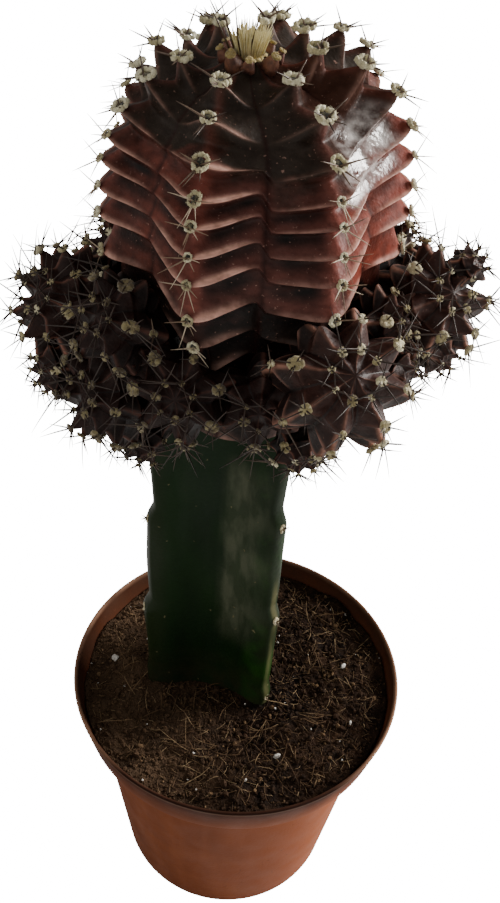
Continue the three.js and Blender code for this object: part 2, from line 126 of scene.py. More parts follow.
class Finish:
    """A material in the making: its colour is laid on in coats, each by a mask of its own."""

    def __init__(self, name, *colours, at=0.5):
        """Starts from one colour, or runs from dark over middle to light by each grain's tone."""
        self.material = bpy.data.materials.new(name)
        self.material.use_nodes = True
        self.tree = self.material.node_tree
        self.tree.nodes.clear()
        self.shader = put(self.tree, "ShaderNodeBsdfPrincipled")
        put(self.tree, "ShaderNodeOutputMaterial", {"Surface": self.shader.outputs[0]})
        self.place = put(self.tree, "ShaderNodeTexCoord").outputs["Object"]
        self.colour = colours[0]
        if len(colours) == 3:
            ramp = put(self.tree, "ShaderNodeValToRGB", {"Fac": self.mask("tone")})
            ramp.color_ramp.elements[0].color = colours[0]
            ramp.color_ramp.elements[1].color = colours[2]
            ramp.color_ramp.elements.new(at).color = colours[1]
            self.colour = ramp.outputs[0]

    def mask(self, label):
        """A mask that the piece carries on its points."""
        return put(self.tree, "ShaderNodeAttribute", attribute_name=label).outputs["Fac"]

    def times(self, first, second):
        """The product of two masks or numbers."""
        return put(self.tree, "ShaderNodeMath", {0: first, 1: second}, operation="MULTIPLY").outputs[0]

    def plus(self, first, second):
        """The sum of two masks or numbers."""
        return put(self.tree, "ShaderNodeMath", {0: first, 1: second}).outputs[0]

    def rising(self, value, start, end):
        """0 where a value is at its start, 1 where it is at its end, and straight between."""
        limits = {"Value": value, "From Min": start, "From Max": end}
        return put(self.tree, "ShaderNodeMapRange", limits).outputs[0]

    def between(self, share, low, high):
        """Spreads a mask from 0..1 to low..high."""
        limits = {"Value": share, "To Min": low, "To Max": high}
        return put(self.tree, "ShaderNodeMapRange", limits).outputs[0]

    def axis(self, letter):
        """Distance from the origin along an axis, in metres."""
        return put(self.tree, "ShaderNodeSeparateXYZ", {"Vector": self.place}).outputs[letter]

    def along(self, letter, start, end):
        """Rises from 0 to 1 between two places on an axis, given in millimetres."""
        return self.rising(self.axis(letter), start * MM, end * MM)

    def patches(self, scale, low, high, stretch=None):
        """Soft patches, drawn out or pressed together along each axis where a stretch is given."""
        place = self.place
        if stretch:
            place = put(self.tree, "ShaderNodeMapping", {"Vector": place, "Scale": stretch}).outputs[0]
        values = {"Place": place, "Scale": scale, "Low": low, "High": high}
        return put(self.tree, "ShaderNodeGroup", values, node_tree=PATCHES).outputs["Mask"]

    def uneven(self, scale, least, most, stretch=None, cuts=(0.3, 0.7)):
        """A number that wanders in patches between a least and a most."""
        return self.between(self.patches(scale, *cuts, stretch), least, most)

    def grain(self, scale, pits):
        """A height for the relief."""
        values = {"Place": self.place, "Scale": scale, "Pits": pits}
        return put(self.tree, "ShaderNodeGroup", values, node_tree=GRAIN).outputs["Height"]

    def mix(self, share, first, second, blend="MIX"):
        """Mixes two colours by a share."""
        colours = {0: share, 6: first, 7: second}
        return put(self.tree, "ShaderNodeMix", colours, data_type="RGBA", blend_type=blend).outputs[2]

    def coat(self, share, colour, strength=1, blend="MIX"):
        """Lays a colour over what is there, where its mask is."""
        if strength != 1:
            share = self.times(share, strength)
        self.colour = self.mix(share, self.colour, colour, blend)

    def done(self, rough, relief, depth, gloss=None):
        """Joins the colour, a roughness and a relief of a depth in millimetres to the shader."""
        self.tree.links.new(self.colour, self.shader.inputs["Base Color"])
        self.tree.links.new(rough, self.shader.inputs["Roughness"])
        bump = put(self.tree, "ShaderNodeBump", {"Height": relief, "Distance": depth * MM})
        self.tree.links.new(bump.outputs[0], self.shader.inputs["Normal"])
        if gloss is not None:
            self.shader.inputs["Specular IOR Level"].default_value = gloss
        return self.material


def mesh_piece(name, points, faces, smooth_faces=True, **masks):
    """A piece of points in millimetres, with named masks on its points."""
    mesh = bpy.data.meshes.new(name)
    mesh.from_pydata((np.asarray(points) * MM).tolist(), [], faces)
    mesh.polygons.foreach_set("use_smooth", [smooth_faces] * len(mesh.polygons))
    for label, values in masks.items():
        mesh.attributes.new(label, "FLOAT", "POINT").data.foreach_set("value", np.ravel(values))
    piece = bpy.data.objects.new(name, mesh)
    bpy.context.scene.collection.objects.link(piece)
    return piece


def closed_stack(rings, bottom, top):
    """Closes rings of equal count, listed bottom up and counter-clockwise seen from above."""
    rows, count, _ = rings.shape
    index = np.arange(rows * count).reshape(rows, count)
    across = np.roll(index, -1, axis=1)
    quads = np.stack([index[:-1], across[:-1], across[1:], index[1:]], axis=-1).reshape(-1, 4)
    under = [(rows * count, b, a) for a, b in zip(index[0].tolist(), across[0].tolist())]
    over = [(rows * count + 1, a, b) for a, b in zip(index[-1].tolist(), across[-1].tolist())]
    points = np.concatenate([rings.reshape(-1, 3), [bottom, top]])
    return points, quads.tolist() + under + over


def rounded_profile(corners, centre_heights):
    """Rounds each corner of an open profile and divides its straight runs."""
    ends = [(0, centre_heights[0]), *[c[:2] for c in corners], (0, centre_heights[1])]
    run = [np.array(ends[0])]
    for k, (radius, height, fillet) in enumerate(corners):
        here = np.array((radius, height))
        back, ahead = (
            (np.array(end) - here) / np.linalg.norm(np.array(end) - here) for end in (ends[k], ends[k + 2])
        )
        for t in np.linspace(0, 1, FILLET_STEPS):
            run.append(here + back * fillet * (1 - t) ** 2 + ahead * fillet * t ** 2)
    run.append(np.array(ends[-1]))
    dense = []
    for first, second in zip(run[:-1], run[1:]):
        parts = max(1, math.ceil(np.linalg.norm(second - first) / POT_STRAIGHT))
        dense += [first + (second - first) * i / parts for i in range(parts)]
    return np.array(dense[1:])


def turned(profile, sides):
    """Rings of a profile of radius and height, turned round the upright axis."""
    angles = np.linspace(0, math.tau, sides, endpoint=False)
    rings = np.empty((len(profile), sides, 3))
    rings[..., 0] = profile[:, :1] * np.cos(angles)
    rings[..., 1] = profile[:, :1] * np.sin(angles)
    rings[..., 2] = profile[:, 1:]
    return rings


def pot_plastic():
    """Satin plastic: dusty low down, painted light on the right, painted shade in the collar, a painted
    highlight on the lip, whose front is darker.
    """
    look = Finish("pot_plastic", tone(121, 64, 36))
    look.coat(look.patches(45, 0.35, 0.7), tone(106, 55, 31))
    flow_streaks = look.patches(1, 0.45, 0.7, stretch=(260, 260, 14))
    look.coat(flow_streaks, tone(140, 80, 50), 0.25)
    # Painted light: the pot is lighter on its right, where the window light falls.
    look.coat(look.along("X", -4, 26), tone(174, 98, 62), 0.75)
    dust = look.times(look.patches(120, 0.42, 0.72), look.along("Z", 60, 10))
    look.coat(dust, tone(146, 88, 58), 0.35)
    # Painted shade: the collar darkens towards the rim.
    collar_painted_shade = look.times(look.uneven(150, 0.85, 1, cuts=(0.35, 0.7)), look.along("Z", 57.2, 67.2))
    look.coat(collar_painted_shade, tone(50, 22, 10))
    # Painted highlight: the top of the lip is paler.
    lip = look.along("Z", 66.8, 67.8)
    look.coat(lip, tone(172, 130, 104), 0.8)
    # The front of the lip is darker.
    look.coat(look.times(lip, look.along("Y", -22, -34)), tone(38, 18, 10))
    # The inner wall of the collar is the part whose radius is small for its height.
    flat = put(look.tree, "ShaderNodeVectorMath", {0: look.place, 1: (1, 1, 0)}, operation="MULTIPLY")
    radius = put(look.tree, "ShaderNodeVectorMath", {0: flat.outputs[0]}, operation="LENGTH")
    inset = look.plus(radius.outputs["Value"], look.times(look.axis("Z"), -COLLAR_TAPER))
    outer_edge, inner_edge = COLLAR_INSIDE
    inner_painted_shade = look.times(look.rising(inset, outer_edge * MM, inner_edge * MM), look.along("Z", 56, 61))
    # Painted shade darkens that inner wall, in patches.
    look.coat(look.times(inner_painted_shade, look.uneven(110, 0.35, 0.9, cuts=(0.35, 0.65))), tone(74, 49, 37))
    look.coat(look.patches(900, 0.66, 0.72), tone(96, 58, 42), 0.5)
    return look.done(look.uneven(160, 0.5, 0.65), look.grain(1400, 0.2), 0.05, gloss=0.07)


def drilled(piece, cutters):
    """Cuts the cutters out of a piece for good and removes them."""
    for cutter in cutters:
        cut = piece.modifiers.new("drain", "BOOLEAN")
        cut.object = cutter
        cut.solver = "EXACT"
    bpy.context.view_layer.update()
    whole = piece.evaluated_get(bpy.context.evaluated_depsgraph_get())
    piece_mesh = bpy.data.meshes.new_from_object(whole)
    piece.modifiers.clear()
    piece.data = piece_mesh
    for cutter in cutters:
        bpy.data.objects.remove(cutter)


rings = turned(rounded_profile(POT_CORNERS, POT_FLOOR), POT_SIDES)
pot = mesh_piece("pot_shell", *closed_stack(rings, (0, 0, POT_FLOOR[0]), (0, 0, POT_FLOOR[1])))
drills = []
for i in range(DRAIN_COUNT):
    angle = math.tau * i / DRAIN_COUNT
    edge = [(DRAIN_RADIUS, DRILL_START), (DRAIN_RADIUS, DRILL_START + DRILL_LENGTH)]
    rings = turned(np.array(edge), DRILL_SIDES)
    rings += (DRAIN_CIRCLE * math.cos(angle), DRAIN_CIRCLE * math.sin(angle), 0)
    middle = rings[0].mean(axis=0)
    drills.append(mesh_piece(f"drill_{i}", *closed_stack(rings, middle, middle + (0, 0, DRILL_LENGTH))))
drilled(pot, drills)
pot.data.materials.append(pot_plastic())
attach(pot, "root")
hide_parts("pot")

# Soil: dark peat that fills the pot to 5 mm under the rim. Its top is uneven and crumbly,
# with peat crumbs, tan fibres and a few white grains lying loose on it. It is poured in and
# pressed round the foot of the stem.
SOIL_LEVEL = 63.2
SOIL_SLOPE = 0.025
SOIL_RADIUS = 39.9
SOIL_WALL = (58.4, 39, 0.25)
SOIL_SIDE = [(27.8, 1.9), (35.4, 58.6), (35.5, 58.9), (38.8, 58.9)]
SOIL_RINGS = 100
SOIL_SIDES = 230
MOUND_HEIGHT = 0.8
LUMP_HEIGHT = 0.6
CRUMB_HEIGHT = 0.4
CRUMBS = [
    # count, smallest and largest size
    (2900, 0.35, 0.7),
    (1500, 0.7, 1.2),
    (110, 1.2, 2.1),
]
FIBRES = [
    # count, shortest and longest, thinnest and thickest
    (1500, 1.2, 4, 0.05, 0.1),
    (150, 4, 10, 0.07, 0.13),
]
FIBRE_TAPER = (0.6, 1, 1, 0.9, 0.4)
WHITE_GRAINS = [
    # place and size
    (-33, 4, 2.4),
    (28.5, 5.5, 1.7),
    (11.4, -23, 1.8),
    (30, -12, 1.2),
    (4, -31, 1),
    (-15, 30, 1.5),
]
SMALL_GRAINS = 34
STEM_AXIS = (-5, 4)
STEM_WINGS = [
    # bearing and reach
    (math.radians(195), 19.4),
    (math.radians(319), 17.4),
    (math.radians(78), 20),
]
WING_HALF = 4.2
PEAT_GLOSS = 0.12


def soil_height(x, y):
    """The soil's own mounds, with lumps and crumbs on them."""
    mounds = math.sin(0.23 * x + 1.1) * math.cos(0.19 * y) + math.sin(0.5 * y - 0.23 * x) / 2
    lumps = noise.noise((x * 0.28, y * 0.28, 3)) + 0.55 * noise.noise((x * 0.75, y * 0.75, 9))
    crumbs = noise.noise((x * 1.9, y * 1.9, 5))
    level = SOIL_LEVEL + SOIL_SLOPE * x
    return level + MOUND_HEIGHT * mounds + LUMP_HEIGHT * lumps + CRUMB_HEIGHT * crumbs


def icosahedron():
    """Corners and faces of a body with twenty equal sides, the root of every small lump."""
    golden = (1 + 5 ** 0.5) / 2
    edge_at_most = 1.2
    corners = []
    for a in (-1, 1):
        for b in (-golden, golden):
            corners += [Vector(c).normalized() for c in ((0, a, b), (a, b, 0), (b, 0, a))]
    faces = []
    for i in range(12):
        for j in range(i + 1, 12):
            for k in range(j + 1, 12):
                a, b, c = corners[i], corners[j], corners[k]
                if max((a - b).length, (b - c).length, (c - a).length) < edge_at_most:
                    outward = (b - a).cross(c - a).dot(a) > 0
                    faces.append((i, j, k) if outward else (i, k, j))
    return corners, faces


ICOSAHEDRON, ICO_FACES = icosahedron()


def lump(chance, base, size, roughness=0.3):
    """Corners of one angular lump, from an icosahedron with its corners shifted."""
    corners = []
    for corner in ICOSAHEDRON:
        corners.append(Vector(corner) * (1 + roughness * chance.uniform(-1, 1)) * size / 2)
    turn = Euler([chance.uniform(0, math.tau) for _ in range(3)]).to_matrix()
    squash = [chance.uniform(0.65, 1.2) for _ in range(3)]
    return [base + turn @ Vector([c * s for c, s in zip(corner, squash)]) for corner in corners]


class Heap:
    """Gathers many small bodies into the points, faces and masks of one mesh."""

    def __init__(self):
        self.points = []
        self.faces = []
        self.tones = []

    def add(self, points, faces, tone_value):
        """One body, with its own tone from 0, dark, to 1, light."""
        start = len(self.points)
        self.points += [tuple(p) for p in points]
        self.faces += [tuple(start + i for i in face) for face in faces]
        self.tones += [tone_value] * len(points)

    def add_thread(self, path, radii, tone_value, sides=4):
        """A closed tube of a few sides along a path, with a radius at each of its points."""
        points = []
        for k, here in enumerate(path):
            along = (path[min(k + 1, len(path) - 1)] - path[max(k - 1, 0)]).normalized()
            side = along.orthogonal().normalized()
            other = along.cross(side)
            for i in range(sides):
                angle = math.tau * i / sides
                points.append(here + (side * math.cos(angle) + other * math.sin(angle)) * radii[k])
        faces = [tuple(range(sides))[::-1], tuple(range(len(points) - sides, len(points)))]
        for k in range(len(path) - 1):
            for i in range(sides):
                a, b = k * sides + i, k * sides + (i + 1) % sides
                faces.append((a, b, b + sides, a + sides))
        self.add(points, faces, tone_value)

    def piece(self, name, smooth_faces=True):
        """The whole heap as one piece."""
        return mesh_piece(name, self.points, self.faces, smooth_faces, tone=self.tones)


def near_stem(x, y):
    """True under the three wings of the stem."""
    x, y = x - STEM_AXIS[0], y - STEM_AXIS[1]
    for bearing, reach in STEM_WINGS:
        out = x * math.cos(bearing) + y * math.sin(bearing)
        aside = abs(y * math.cos(bearing) - x * math.sin(bearing))
        if aside < WING_HALF and -2 < out < reach + 0.3:
            return True
    return False


def soil_spot(chance, edge):
    """A random spot on the soil, clear of the stem and of the pot's wall."""
    while True:
        x, y = chance.uniform(-40, 40), chance.uniform(-40, 40)
        if math.hypot(x, y) < SOIL_RADIUS - edge and not near_stem(x, y):
            return x, y


def left_painted_light(look):
    """Painted light on the left of the pot, where the peat is made a paler brown in patches."""
    return look.times(look.along("X", 4, -26), look.uneven(140, 0.5, 1, cuts=(0.35, 0.65)))


def peat():
    """Dry peat: near-black brown with paler, fibrous flecks, rough all over."""
    look = Finish("peat", tone(31, 21, 14))
    look.coat(look.patches(300, 0.35, 0.65), tone(60, 42, 29))
    look.coat(look.patches(1300, 0.62, 0.75), tone(84, 60, 38))
    look.coat(look.patches(90, 0.4, 0.65), tone(124, 112, 104), blend="MULTIPLY")
    # Painted light: the peat is paler on the left of the pot.
    look.coat(left_painted_light(look), tone(94, 74, 56), 0.75)
    return look.done(look.uneven(700, 0.8, 1), look.grain(1800, 0.8), 0.35, PEAT_GLOSS)


def crumb_peat():
    """Loose crumbs, each with its own tone from black-brown to tan."""
    look = Finish("crumb_peat", tone(30, 21, 14), tone(58, 41, 29), tone(134, 107, 78), at=0.8)
    look.coat(look.patches(1500, 0.45, 0.7), tone(60, 42, 29))
    # Painted light: the crumbs are paler on the left of the pot.
    look.coat(left_painted_light(look), tone(114, 90, 68), 0.6)
    return look.done(look.uneven(900, 0.75, 0.95), look.grain(2600, 0.8), 0.2, PEAT_GLOSS)


def dry_fibre():
    """Peat and coir fibres, from brown to pale straw."""
    look = Finish("dry_fibre", tone(64, 47, 33), tone(116, 92, 66), tone(178, 152, 116))
    look.coat(look.patches(700, 0.4, 0.7), tone(92, 68, 46))
    return look.done(look.uneven(900, 0.7, 0.9), look.grain(3000, 0.3), 0.05, gloss=0.2)


def white_mineral():
    """Expanded white mineral grains, dirty in their hollows."""
    look = Finish("white_mineral", tone(226, 222, 216))
    look.coat(look.patches(1200, 0.5, 0.7), tone(150, 138, 124))
    return look.done(look.uneven(900, 0.8, 1), look.grain(2200, 0.9), 0.2)


side_rings = turned(np.array(SOIL_SIDE), SOIL_SIDES)
top_rings = np.empty((SOIL_RINGS, SOIL_SIDES, 3))
shelf, wall, widening = SOIL_WALL
for k in range(SOIL_RINGS):
    radius = SOIL_RADIUS * (1 - k / SOIL_RINGS)
    for i, angle in enumerate(np.linspace(0, math.tau, SOIL_SIDES, endpoint=False)):
        x, y = radius * math.cos(angle), radius * math.sin(angle)
        height = soil_height(x, y)
        snug = min(1, (wall + (height - shelf) * widening) / SOIL_RADIUS)
        top_rings[k, i] = (x * snug, y * snug, height)
rings = np.concatenate([side_rings, top_rings])
soil = mesh_piece("soil_bed", *closed_stack(rings, (0, 0, SOIL_SIDE[0][1]), (0, 0, soil_height(0, 0))))
soil.data.materials.append(peat())
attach(soil, "root")
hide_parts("soil")

chance = random.Random(5)
heap = Heap()
for count, smallest, largest in CRUMBS:
    for _ in range(count):
        size = chance.uniform(smallest, largest)
        x, y = soil_spot(chance, size / 2)
        base = Vector((x, y, soil_height(x, y) + size * chance.uniform(0.05, 0.4)))
        heap.add(lump(chance, base, size), ICO_FACES, chance.random() ** 1.6)
crumbs = heap.piece("soil_crumbs", smooth_faces=False)
crumbs.data.materials.append(crumb_peat())
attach(crumbs, "root")

heap = Heap()
for count, shortest, longest, thinnest, thickest in FIBRES:
    for _ in range(count):
        length = chance.uniform(shortest, longest)
        x, y = soil_spot(chance, length / 2 + 0.5)
        heading = chance.uniform(0, math.tau)
        curl = chance.gauss(0, 0.14)
        thickness = chance.uniform(thinnest, thickest)
        slant = chance.uniform(0, 0.35) * length
        path = []
        for k in range(len(FIBRE_TAPER)):
            t = k / (len(FIBRE_TAPER) - 1)
            bend = heading + curl * (t - 0.5) * 2
            px = x + length * (t - 0.5) * math.cos(bend)
            py = y + length * (t - 0.5) * math.sin(bend)
            lift = thickness + 0.1 + slant * t
            path.append(Vector((px, py, soil_height(px, py) + lift)))
        heap.add_thread(path, [thickness * r for r in FIBRE_TAPER], chance.random() ** 1.5, sides=3)
fibres = heap.piece("soil_fibres")
fibres.data.materials.append(dry_fibre())
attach(fibres, "root")

heap = Heap()
for x, y, size in WHITE_GRAINS:
    base = Vector((x, y, soil_height(x, y) + size * 0.3))
    heap.add(lump(chance, base, size, roughness=0.2), ICO_FACES, 0.5)
for _ in range(SMALL_GRAINS):
    size = chance.uniform(0.3, 0.75)
    x, y = soil_spot(chance, size)
    heap.add(lump(chance, Vector((x, y, soil_height(x, y) + 0.5)), size), ICO_FACES, 0.5)
grains = heap.piece("soil_white_grains", smooth_faces=False)
grains.data.materials.append(white_mineral())
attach(grains, "root")

# Rootstock: a living three-winged stem of a green climbing cactus, cut flat at the top for
# the graft. Its skin is smooth, dark and waxy. The wings step in over their woolly areoles
# and grow out again, and the stem stands in the peat by its own root.
STEM_FOOT = 22
STEM_TOP = 154
STEM_ROW = 1.1
STEM_VALLEY = 7.1
STEM_HALF = 3.8
STEM_SHOULDER = (0.72, 3.25)
STEM_CREST = 2.3
STEM_CREST_ROUND = (1.4, 0.3)
STEM_CURVE_STEPS = 7
STEM_START = 65.2
STEM_WAVE = 0.7
STEM_WAIST = 1.2
STEM_FLARE = 0.6
STEM_RIPPLE = 0.45
CUT_EDGE = 0.985
# Where the grey painted sheen lies on the front face: its bearing, spread and heights.
PAINTED_SHEEN_BEARING = -73
PAINTED_SHEEN_SPREAD = 21
PAINTED_SHEEN_HEIGHTS = (80, 144)
EDGE_BEARING = -41
AREOLE_LOWEST = 60.4
AREOLE_PITCH = 30
AREOLE_STAGGER = 5.6
AREOLE_STEP = 0.15
STEM_AREOLES = [
    # wing, and place on it counted from the lowest
    (0, 1), (0, 2), (1, 0), (1, 1), (1, 2), (2, 0), (2, 1), (2, 2),
]
RING_TUFTS = 14
CUSHION_TUFTS = 8
STRAND_WIDTH = 0.032
STEM_PAD_SIZE = 1.9
STEM_SPINE_TURNS = (-1, -0.35, 0.4, 1)
STEM_SPINE = [
    # distance along the spine, and its half width there
    (0, 0.16),
    (0.8, 0.12),
    (1.7, 0.03),
]


def smooth(x):
    """A soft step from 0 to 1."""
    s = np.clip(x, 0, 1)
    return s * s * (3 - 2 * s)


def stem_reach(wing, z):
    """How far a wing stands out at a height: it steps in over its areoles, then grows out."""
    share = ((z - AREOLE_LOWEST - AREOLE_STAGGER * wing) / AREOLE_PITCH) % 1
    step_in = 1 - 2 * smooth(share / AREOLE_STEP)
    grow_out = 2 * (share - AREOLE_STEP) / (1 - AREOLE_STEP) - 1
    wave = STEM_WAVE * (step_in if share < AREOLE_STEP else grow_out) * smooth((z - STEM_START) / 6)
    waist = STEM_WAIST * smooth((z - 100) / 25)
    return float(STEM_WINGS[wing][1] + wave - waist + STEM_FLARE * smooth(1 + (z - STEM_TOP) / 14))


def stem_outline(z):
    """The stem's section at a height: a closed curve through eight points of each wing."""
    out, shoulder = STEM_SHOULDER
    deep, shallow = STEM_CREST_ROUND
    corners = []
    for wing, (bearing, _) in enumerate(STEM_WINGS):
        reach = stem_reach(wing, z)
        along = np.array((math.cos(bearing), math.sin(bearing)))
        across = np.array((-along[1], along[0]))
        half = [
            (STEM_VALLEY, STEM_HALF),
            (reach * out, shoulder),
            (reach - deep, STEM_CREST),
            (reach - shallow, STEM_CREST / 2),
        ]
        for r, side in [(r, -s) for r, s in half] + half[::-1]:
            corners.append(np.array(STEM_AXIS) + along * r + across * side)
    points = []
    count = len(corners)
    for i in range(count):
        p0, p1, p2, p3 = (corners[(i + k) % count] for k in (-1, 0, 1, 2))
        for t in np.arange(0, 1, 1 / STEM_CURVE_STEPS):
            points.append(
                0.5 * (2 * p1 + (p2 - p0) * t + (2 * p0 - 5 * p1 + 4 * p2 - p3) * t * t
                       + (3 * p1 - p0 - 3 * p2 + p3) * t ** 3)
            )
    return np.array(points)


def stem_skin():
    """Waxy skin: black-green faces with a grey painted sheen; the right wing is worn and has painted light, a
    brighter green.
    """
    look = Finish("stem_skin", tone(11, 28, 10))
    tall = (1, 1, 0.35)
    look.coat(look.patches(90, 0.35, 0.65, tall), tone(17, 40, 13))
    look.coat(look.mask("crest"), tone(34, 42, 22), 0.6)
    # Painted light: the mask named young makes the right wing a brighter green, where the window light falls.
    look.coat(look.times(look.patches(75, 0.46, 0.6), look.mask("young")), tone(25, 60, 14))
    ragged = look.uneven(330, 0.4, 1, tall, cuts=(0.4, 0.6))
    # Painted sheen: a grey reflection in ragged streaks on the right half of the front face.
    look.coat(look.times(look.mask("painted_sheen"), ragged), tone(80, 84, 66), 0.85)
    foot = look.along("Z", 78, 58)
    look.coat(foot, tone(42, 50, 36), 0.55)
    look.coat(look.times(look.patches(260, 0.35, 0.6), foot), tone(52, 46, 30), 0.7)
    worn = look.uneven(150, 0.2, 1, tall, cuts=(0.4, 0.6))
    look.coat(look.times(look.mask("edge"), worn), tone(128, 122, 84), 0.7)
    look.coat(look.patches(420, 0.7, 0.74), tone(104, 98, 70))
    rough = look.uneven(110, 0.38, 0.6, tall, cuts=(0.4, 0.62))
    return look.done(rough, look.grain(900, 0.5), 0.06, gloss=0.13)


rings = []
stem_masks = {"crest": [], "edge": [], "painted_sheen": [], "young": []}
lowest, highest = PAINTED_SHEEN_HEIGHTS
for z in [STEM_FOOT, SOIL_LEVEL - 3, *np.arange(SOIL_LEVEL - 2, STEM_TOP, STEM_ROW), STEM_TOP - 0.2]:
    outline = stem_outline(z)
    away = outline - STEM_AXIS
    distance = np.linalg.norm(away, axis=1)
    ripple = np.array([noise.noise((x * 0.16, y * 0.16, z * 0.06)) for x, y in outline])
    outline += away / distance[:, None] * (STEM_RIPPLE * ripple)[:, None]
    rings.append(np.column_stack([outline, np.full(len(outline), z)]))
    bearing = np.degrees(np.arctan2(away[:, 1], away[:, 0]))
    on_right = smooth(2 - np.abs(bearing - EDGE_BEARING) / 7) * smooth((112 - z) / 10)
    beside_right = smooth(2 - np.abs(bearing - EDGE_BEARING + 6) / 12)
    ragged = 6 * noise.noise((z * 0.12, 7, 1))
    faced = smooth(1.4 - np.abs(bearing - PAINTED_SHEEN_BEARING - ragged) / PAINTED_SHEEN_SPREAD)
    stem_masks["crest"].append(smooth((distance - 13.5) / 4.5))
    stem_masks["edge"].append(smooth((distance - stem_reach(1, z) + 0.28) / 0.2) * on_right)
    # Painted sheen: a grey reflection laid on the front face.
    stem_masks["painted_sheen"].append(faced * smooth((z - lowest) / 14) * smooth((highest - z) / 6))
    # Painted light: the mask named young marks the right wing's flank.
    stem_masks["young"].append(smooth((distance - 10) / 4) * beside_right)
inset = rings[-1].copy()
inset[:, :2] = np.array(STEM_AXIS) + (inset[:, :2] - STEM_AXIS) * CUT_EDGE
inset[:, 2] = STEM_TOP
rings.append(inset)
on_cut = np.zeros(len(inset) + 2)
stem = mesh_piece(
    "rootstock_stem",
    *closed_stack(np.array(rings), (*STEM_AXIS, STEM_FOOT), (*STEM_AXIS, STEM_TOP)),
    **{label: np.append(np.ravel(mask), on_cut) for label, mask in stem_masks.items()},
)
stem.data.materials.append(stem_skin())
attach(stem, "root")
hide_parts("rootstock")


def dry_wool(name, deep, middle, pale, core):
    """Felted wool of an areole: pale strands over a core of its own colour."""
    look = Finish(name, deep, middle, pale)
    look.coat(look.mask("core"), core)
    look.coat(look.patches(900, 0.5, 0.8), middle)
    look.shader.inputs["Sheen Weight"].default_value = 0.3
    look.shader.inputs["Sheen Roughness"].default_value = 0.6
    return look.done(look.uneven(900, 0.85, 1), look.grain(3500, 0.5), 0.12)


def spine_horn(name, foot, middle, tip, at=0.5):
    """Horny spines, each with its own tone."""
    look = Finish(name, foot, middle, tip, at=at)
    look.coat(look.patches(500, 0.45, 0.7), look.mix(0.35, look.colour, foot))
    return look.done(look.uneven(600, 0.4, 0.6), look.grain(3000, 0.2), 0.02)


class Wool(Heap):
    """A heap of areole pads, each a felt cushion or ring with strands standing off it."""

    def __init__(self):
        super().__init__()
        self.cores = []

    def add_part(self, points, faces, tone_value, core):
        """One body of the wool: core is 1 in the dark middle of a ring and 0 elsewhere."""
        self.add(points, faces, tone_value)
        self.cores += [core] * len(points)

    def add_strand(self, root, tip, width, tone_value):
        """One thin strand: a narrow pyramid on three sides."""
        along = (tip - root).normalized()
        side = along.orthogonal().normalized() * width / 2
        other = along.cross(side)
        corners = [root + side, root - side / 2 + other, root - side / 2 - other, tip]
        self.add_part(corners, [(0, 2, 1), (0, 1, 3), (1, 2, 3), (2, 0, 3)], tone_value, 0)

    def add_blob(self, chance, middle, axes, tone_value, core):
        """A rounded lump with a half width along each of three axes."""
        points = []
        for corner in ICOSAHEDRON:
            uneven = chance.uniform(0.82, 1.14)
            points.append(middle + sum((axis * c * uneven for axis, c in zip(axes, corner)), Vector()))
        self.add_part(points, ICO_FACES, tone_value, core)

    def add_pad(self, chance, seat, out, up, size, hollow, strands, tall=1.12, tones=(0.1, 0.75)):
        """An areole of a size across: felted tufts, set in a ring round a sunk dark core."""
        side = up.cross(out).normalized()
        rise = out.cross(side)
        half = size / 2
        core = (side * half * 0.6, rise * half * 0.6 * tall, out * half * (0.14 if hollow else 0.5))
        own = chance.uniform(*tones)
        self.add_blob(chance, seat, core, own, hollow)
        tufts = RING_TUFTS if hollow else CUSHION_TUFTS
        swing = chance.uniform(0, math.tau)
        for k in range(tufts):
            angle = swing + math.tau * (k + chance.uniform(-0.4, 0.4)) / tufts
            spoke = side * math.cos(angle) + rise * math.sin(angle) * tall
            far = half * (0.72 if hollow else 0.5) * chance.uniform(0.9, 1.12)
            wide = half * chance.uniform(0.2, 0.34) * (1 if hollow else 1.6)
            thick = half * chance.uniform(0.26, 0.46)
            across = out.cross(spoke).normalized()
            middle = seat + spoke * far + out * thick * 0.4
            axes = (spoke.normalized() * wide, across * wide * 1.4, out * thick)
            tuft_tone = min(1, max(0, own + chance.uniform(-0.15, 0.25)))
            self.add_blob(chance, middle, axes, tuft_tone, 0)
            for _ in range(strands):
                way = (spoke * chance.uniform(-0.2, 1) + out * chance.uniform(0.3, 1)).normalized()
                way = (way + across * chance.uniform(-0.9, 0.9)).normalized()
                root = middle + way * wide * 0.5 + across * wide * chance.uniform(-1, 1)
                tip = root + way * size * chance.uniform(0.07, 0.17)
                strand_tone = min(1, max(0, own + chance.uniform(-0.1, 0.5)))
                self.add_strand(root, tip, size * STRAND_WIDTH, strand_tone)

    def piece(self, name):
        """The whole wool as one piece."""
        return mesh_piece(name, self.points, self.faces, tone=self.tones, core=self.cores)


wool, horns = Wool(), Heap()
for wing, k in STEM_AREOLES:
    z = AREOLE_LOWEST + AREOLE_STAGGER * wing + AREOLE_PITCH * k
    bearing = STEM_WINGS[wing][0]
    out = Vector((math.cos(bearing), math.sin(bearing), 0.15)).normalized()
    reach = stem_reach(wing, z) - 0.25
    seat = Vector((STEM_AXIS[0] + out.x * reach, STEM_AXIS[1] + out.y * reach, z))
    wool.add_pad(chance, seat, out, Vector((0, 0, 1)), STEM_PAD_SIZE, hollow=0, strands=5, tall=1.8)
    side = Vector((0, 0, 1)).cross(out)
    for turn in STEM_SPINE_TURNS:
        way = (out + side * turn + Vector((0, 0, chance.uniform(-0.6, 0.7)))).normalized()
        path = [seat + out * 0.3 + way * far for far, _ in STEM_SPINE]
        horns.add_thread(path, [wide for _, wide in STEM_SPINE], chance.uniform(0, 0.6))
stem_wool = wool.piece("rootstock_areoles")
stem_wool.data.materials.append(
    dry_wool("stem_wool", tone(140, 126, 90), tone(200, 188, 150), tone(232, 222, 190), tone(120, 106, 74))
)
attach(stem_wool, "root")
stem_horns = horns.piece("rootstock_spines")
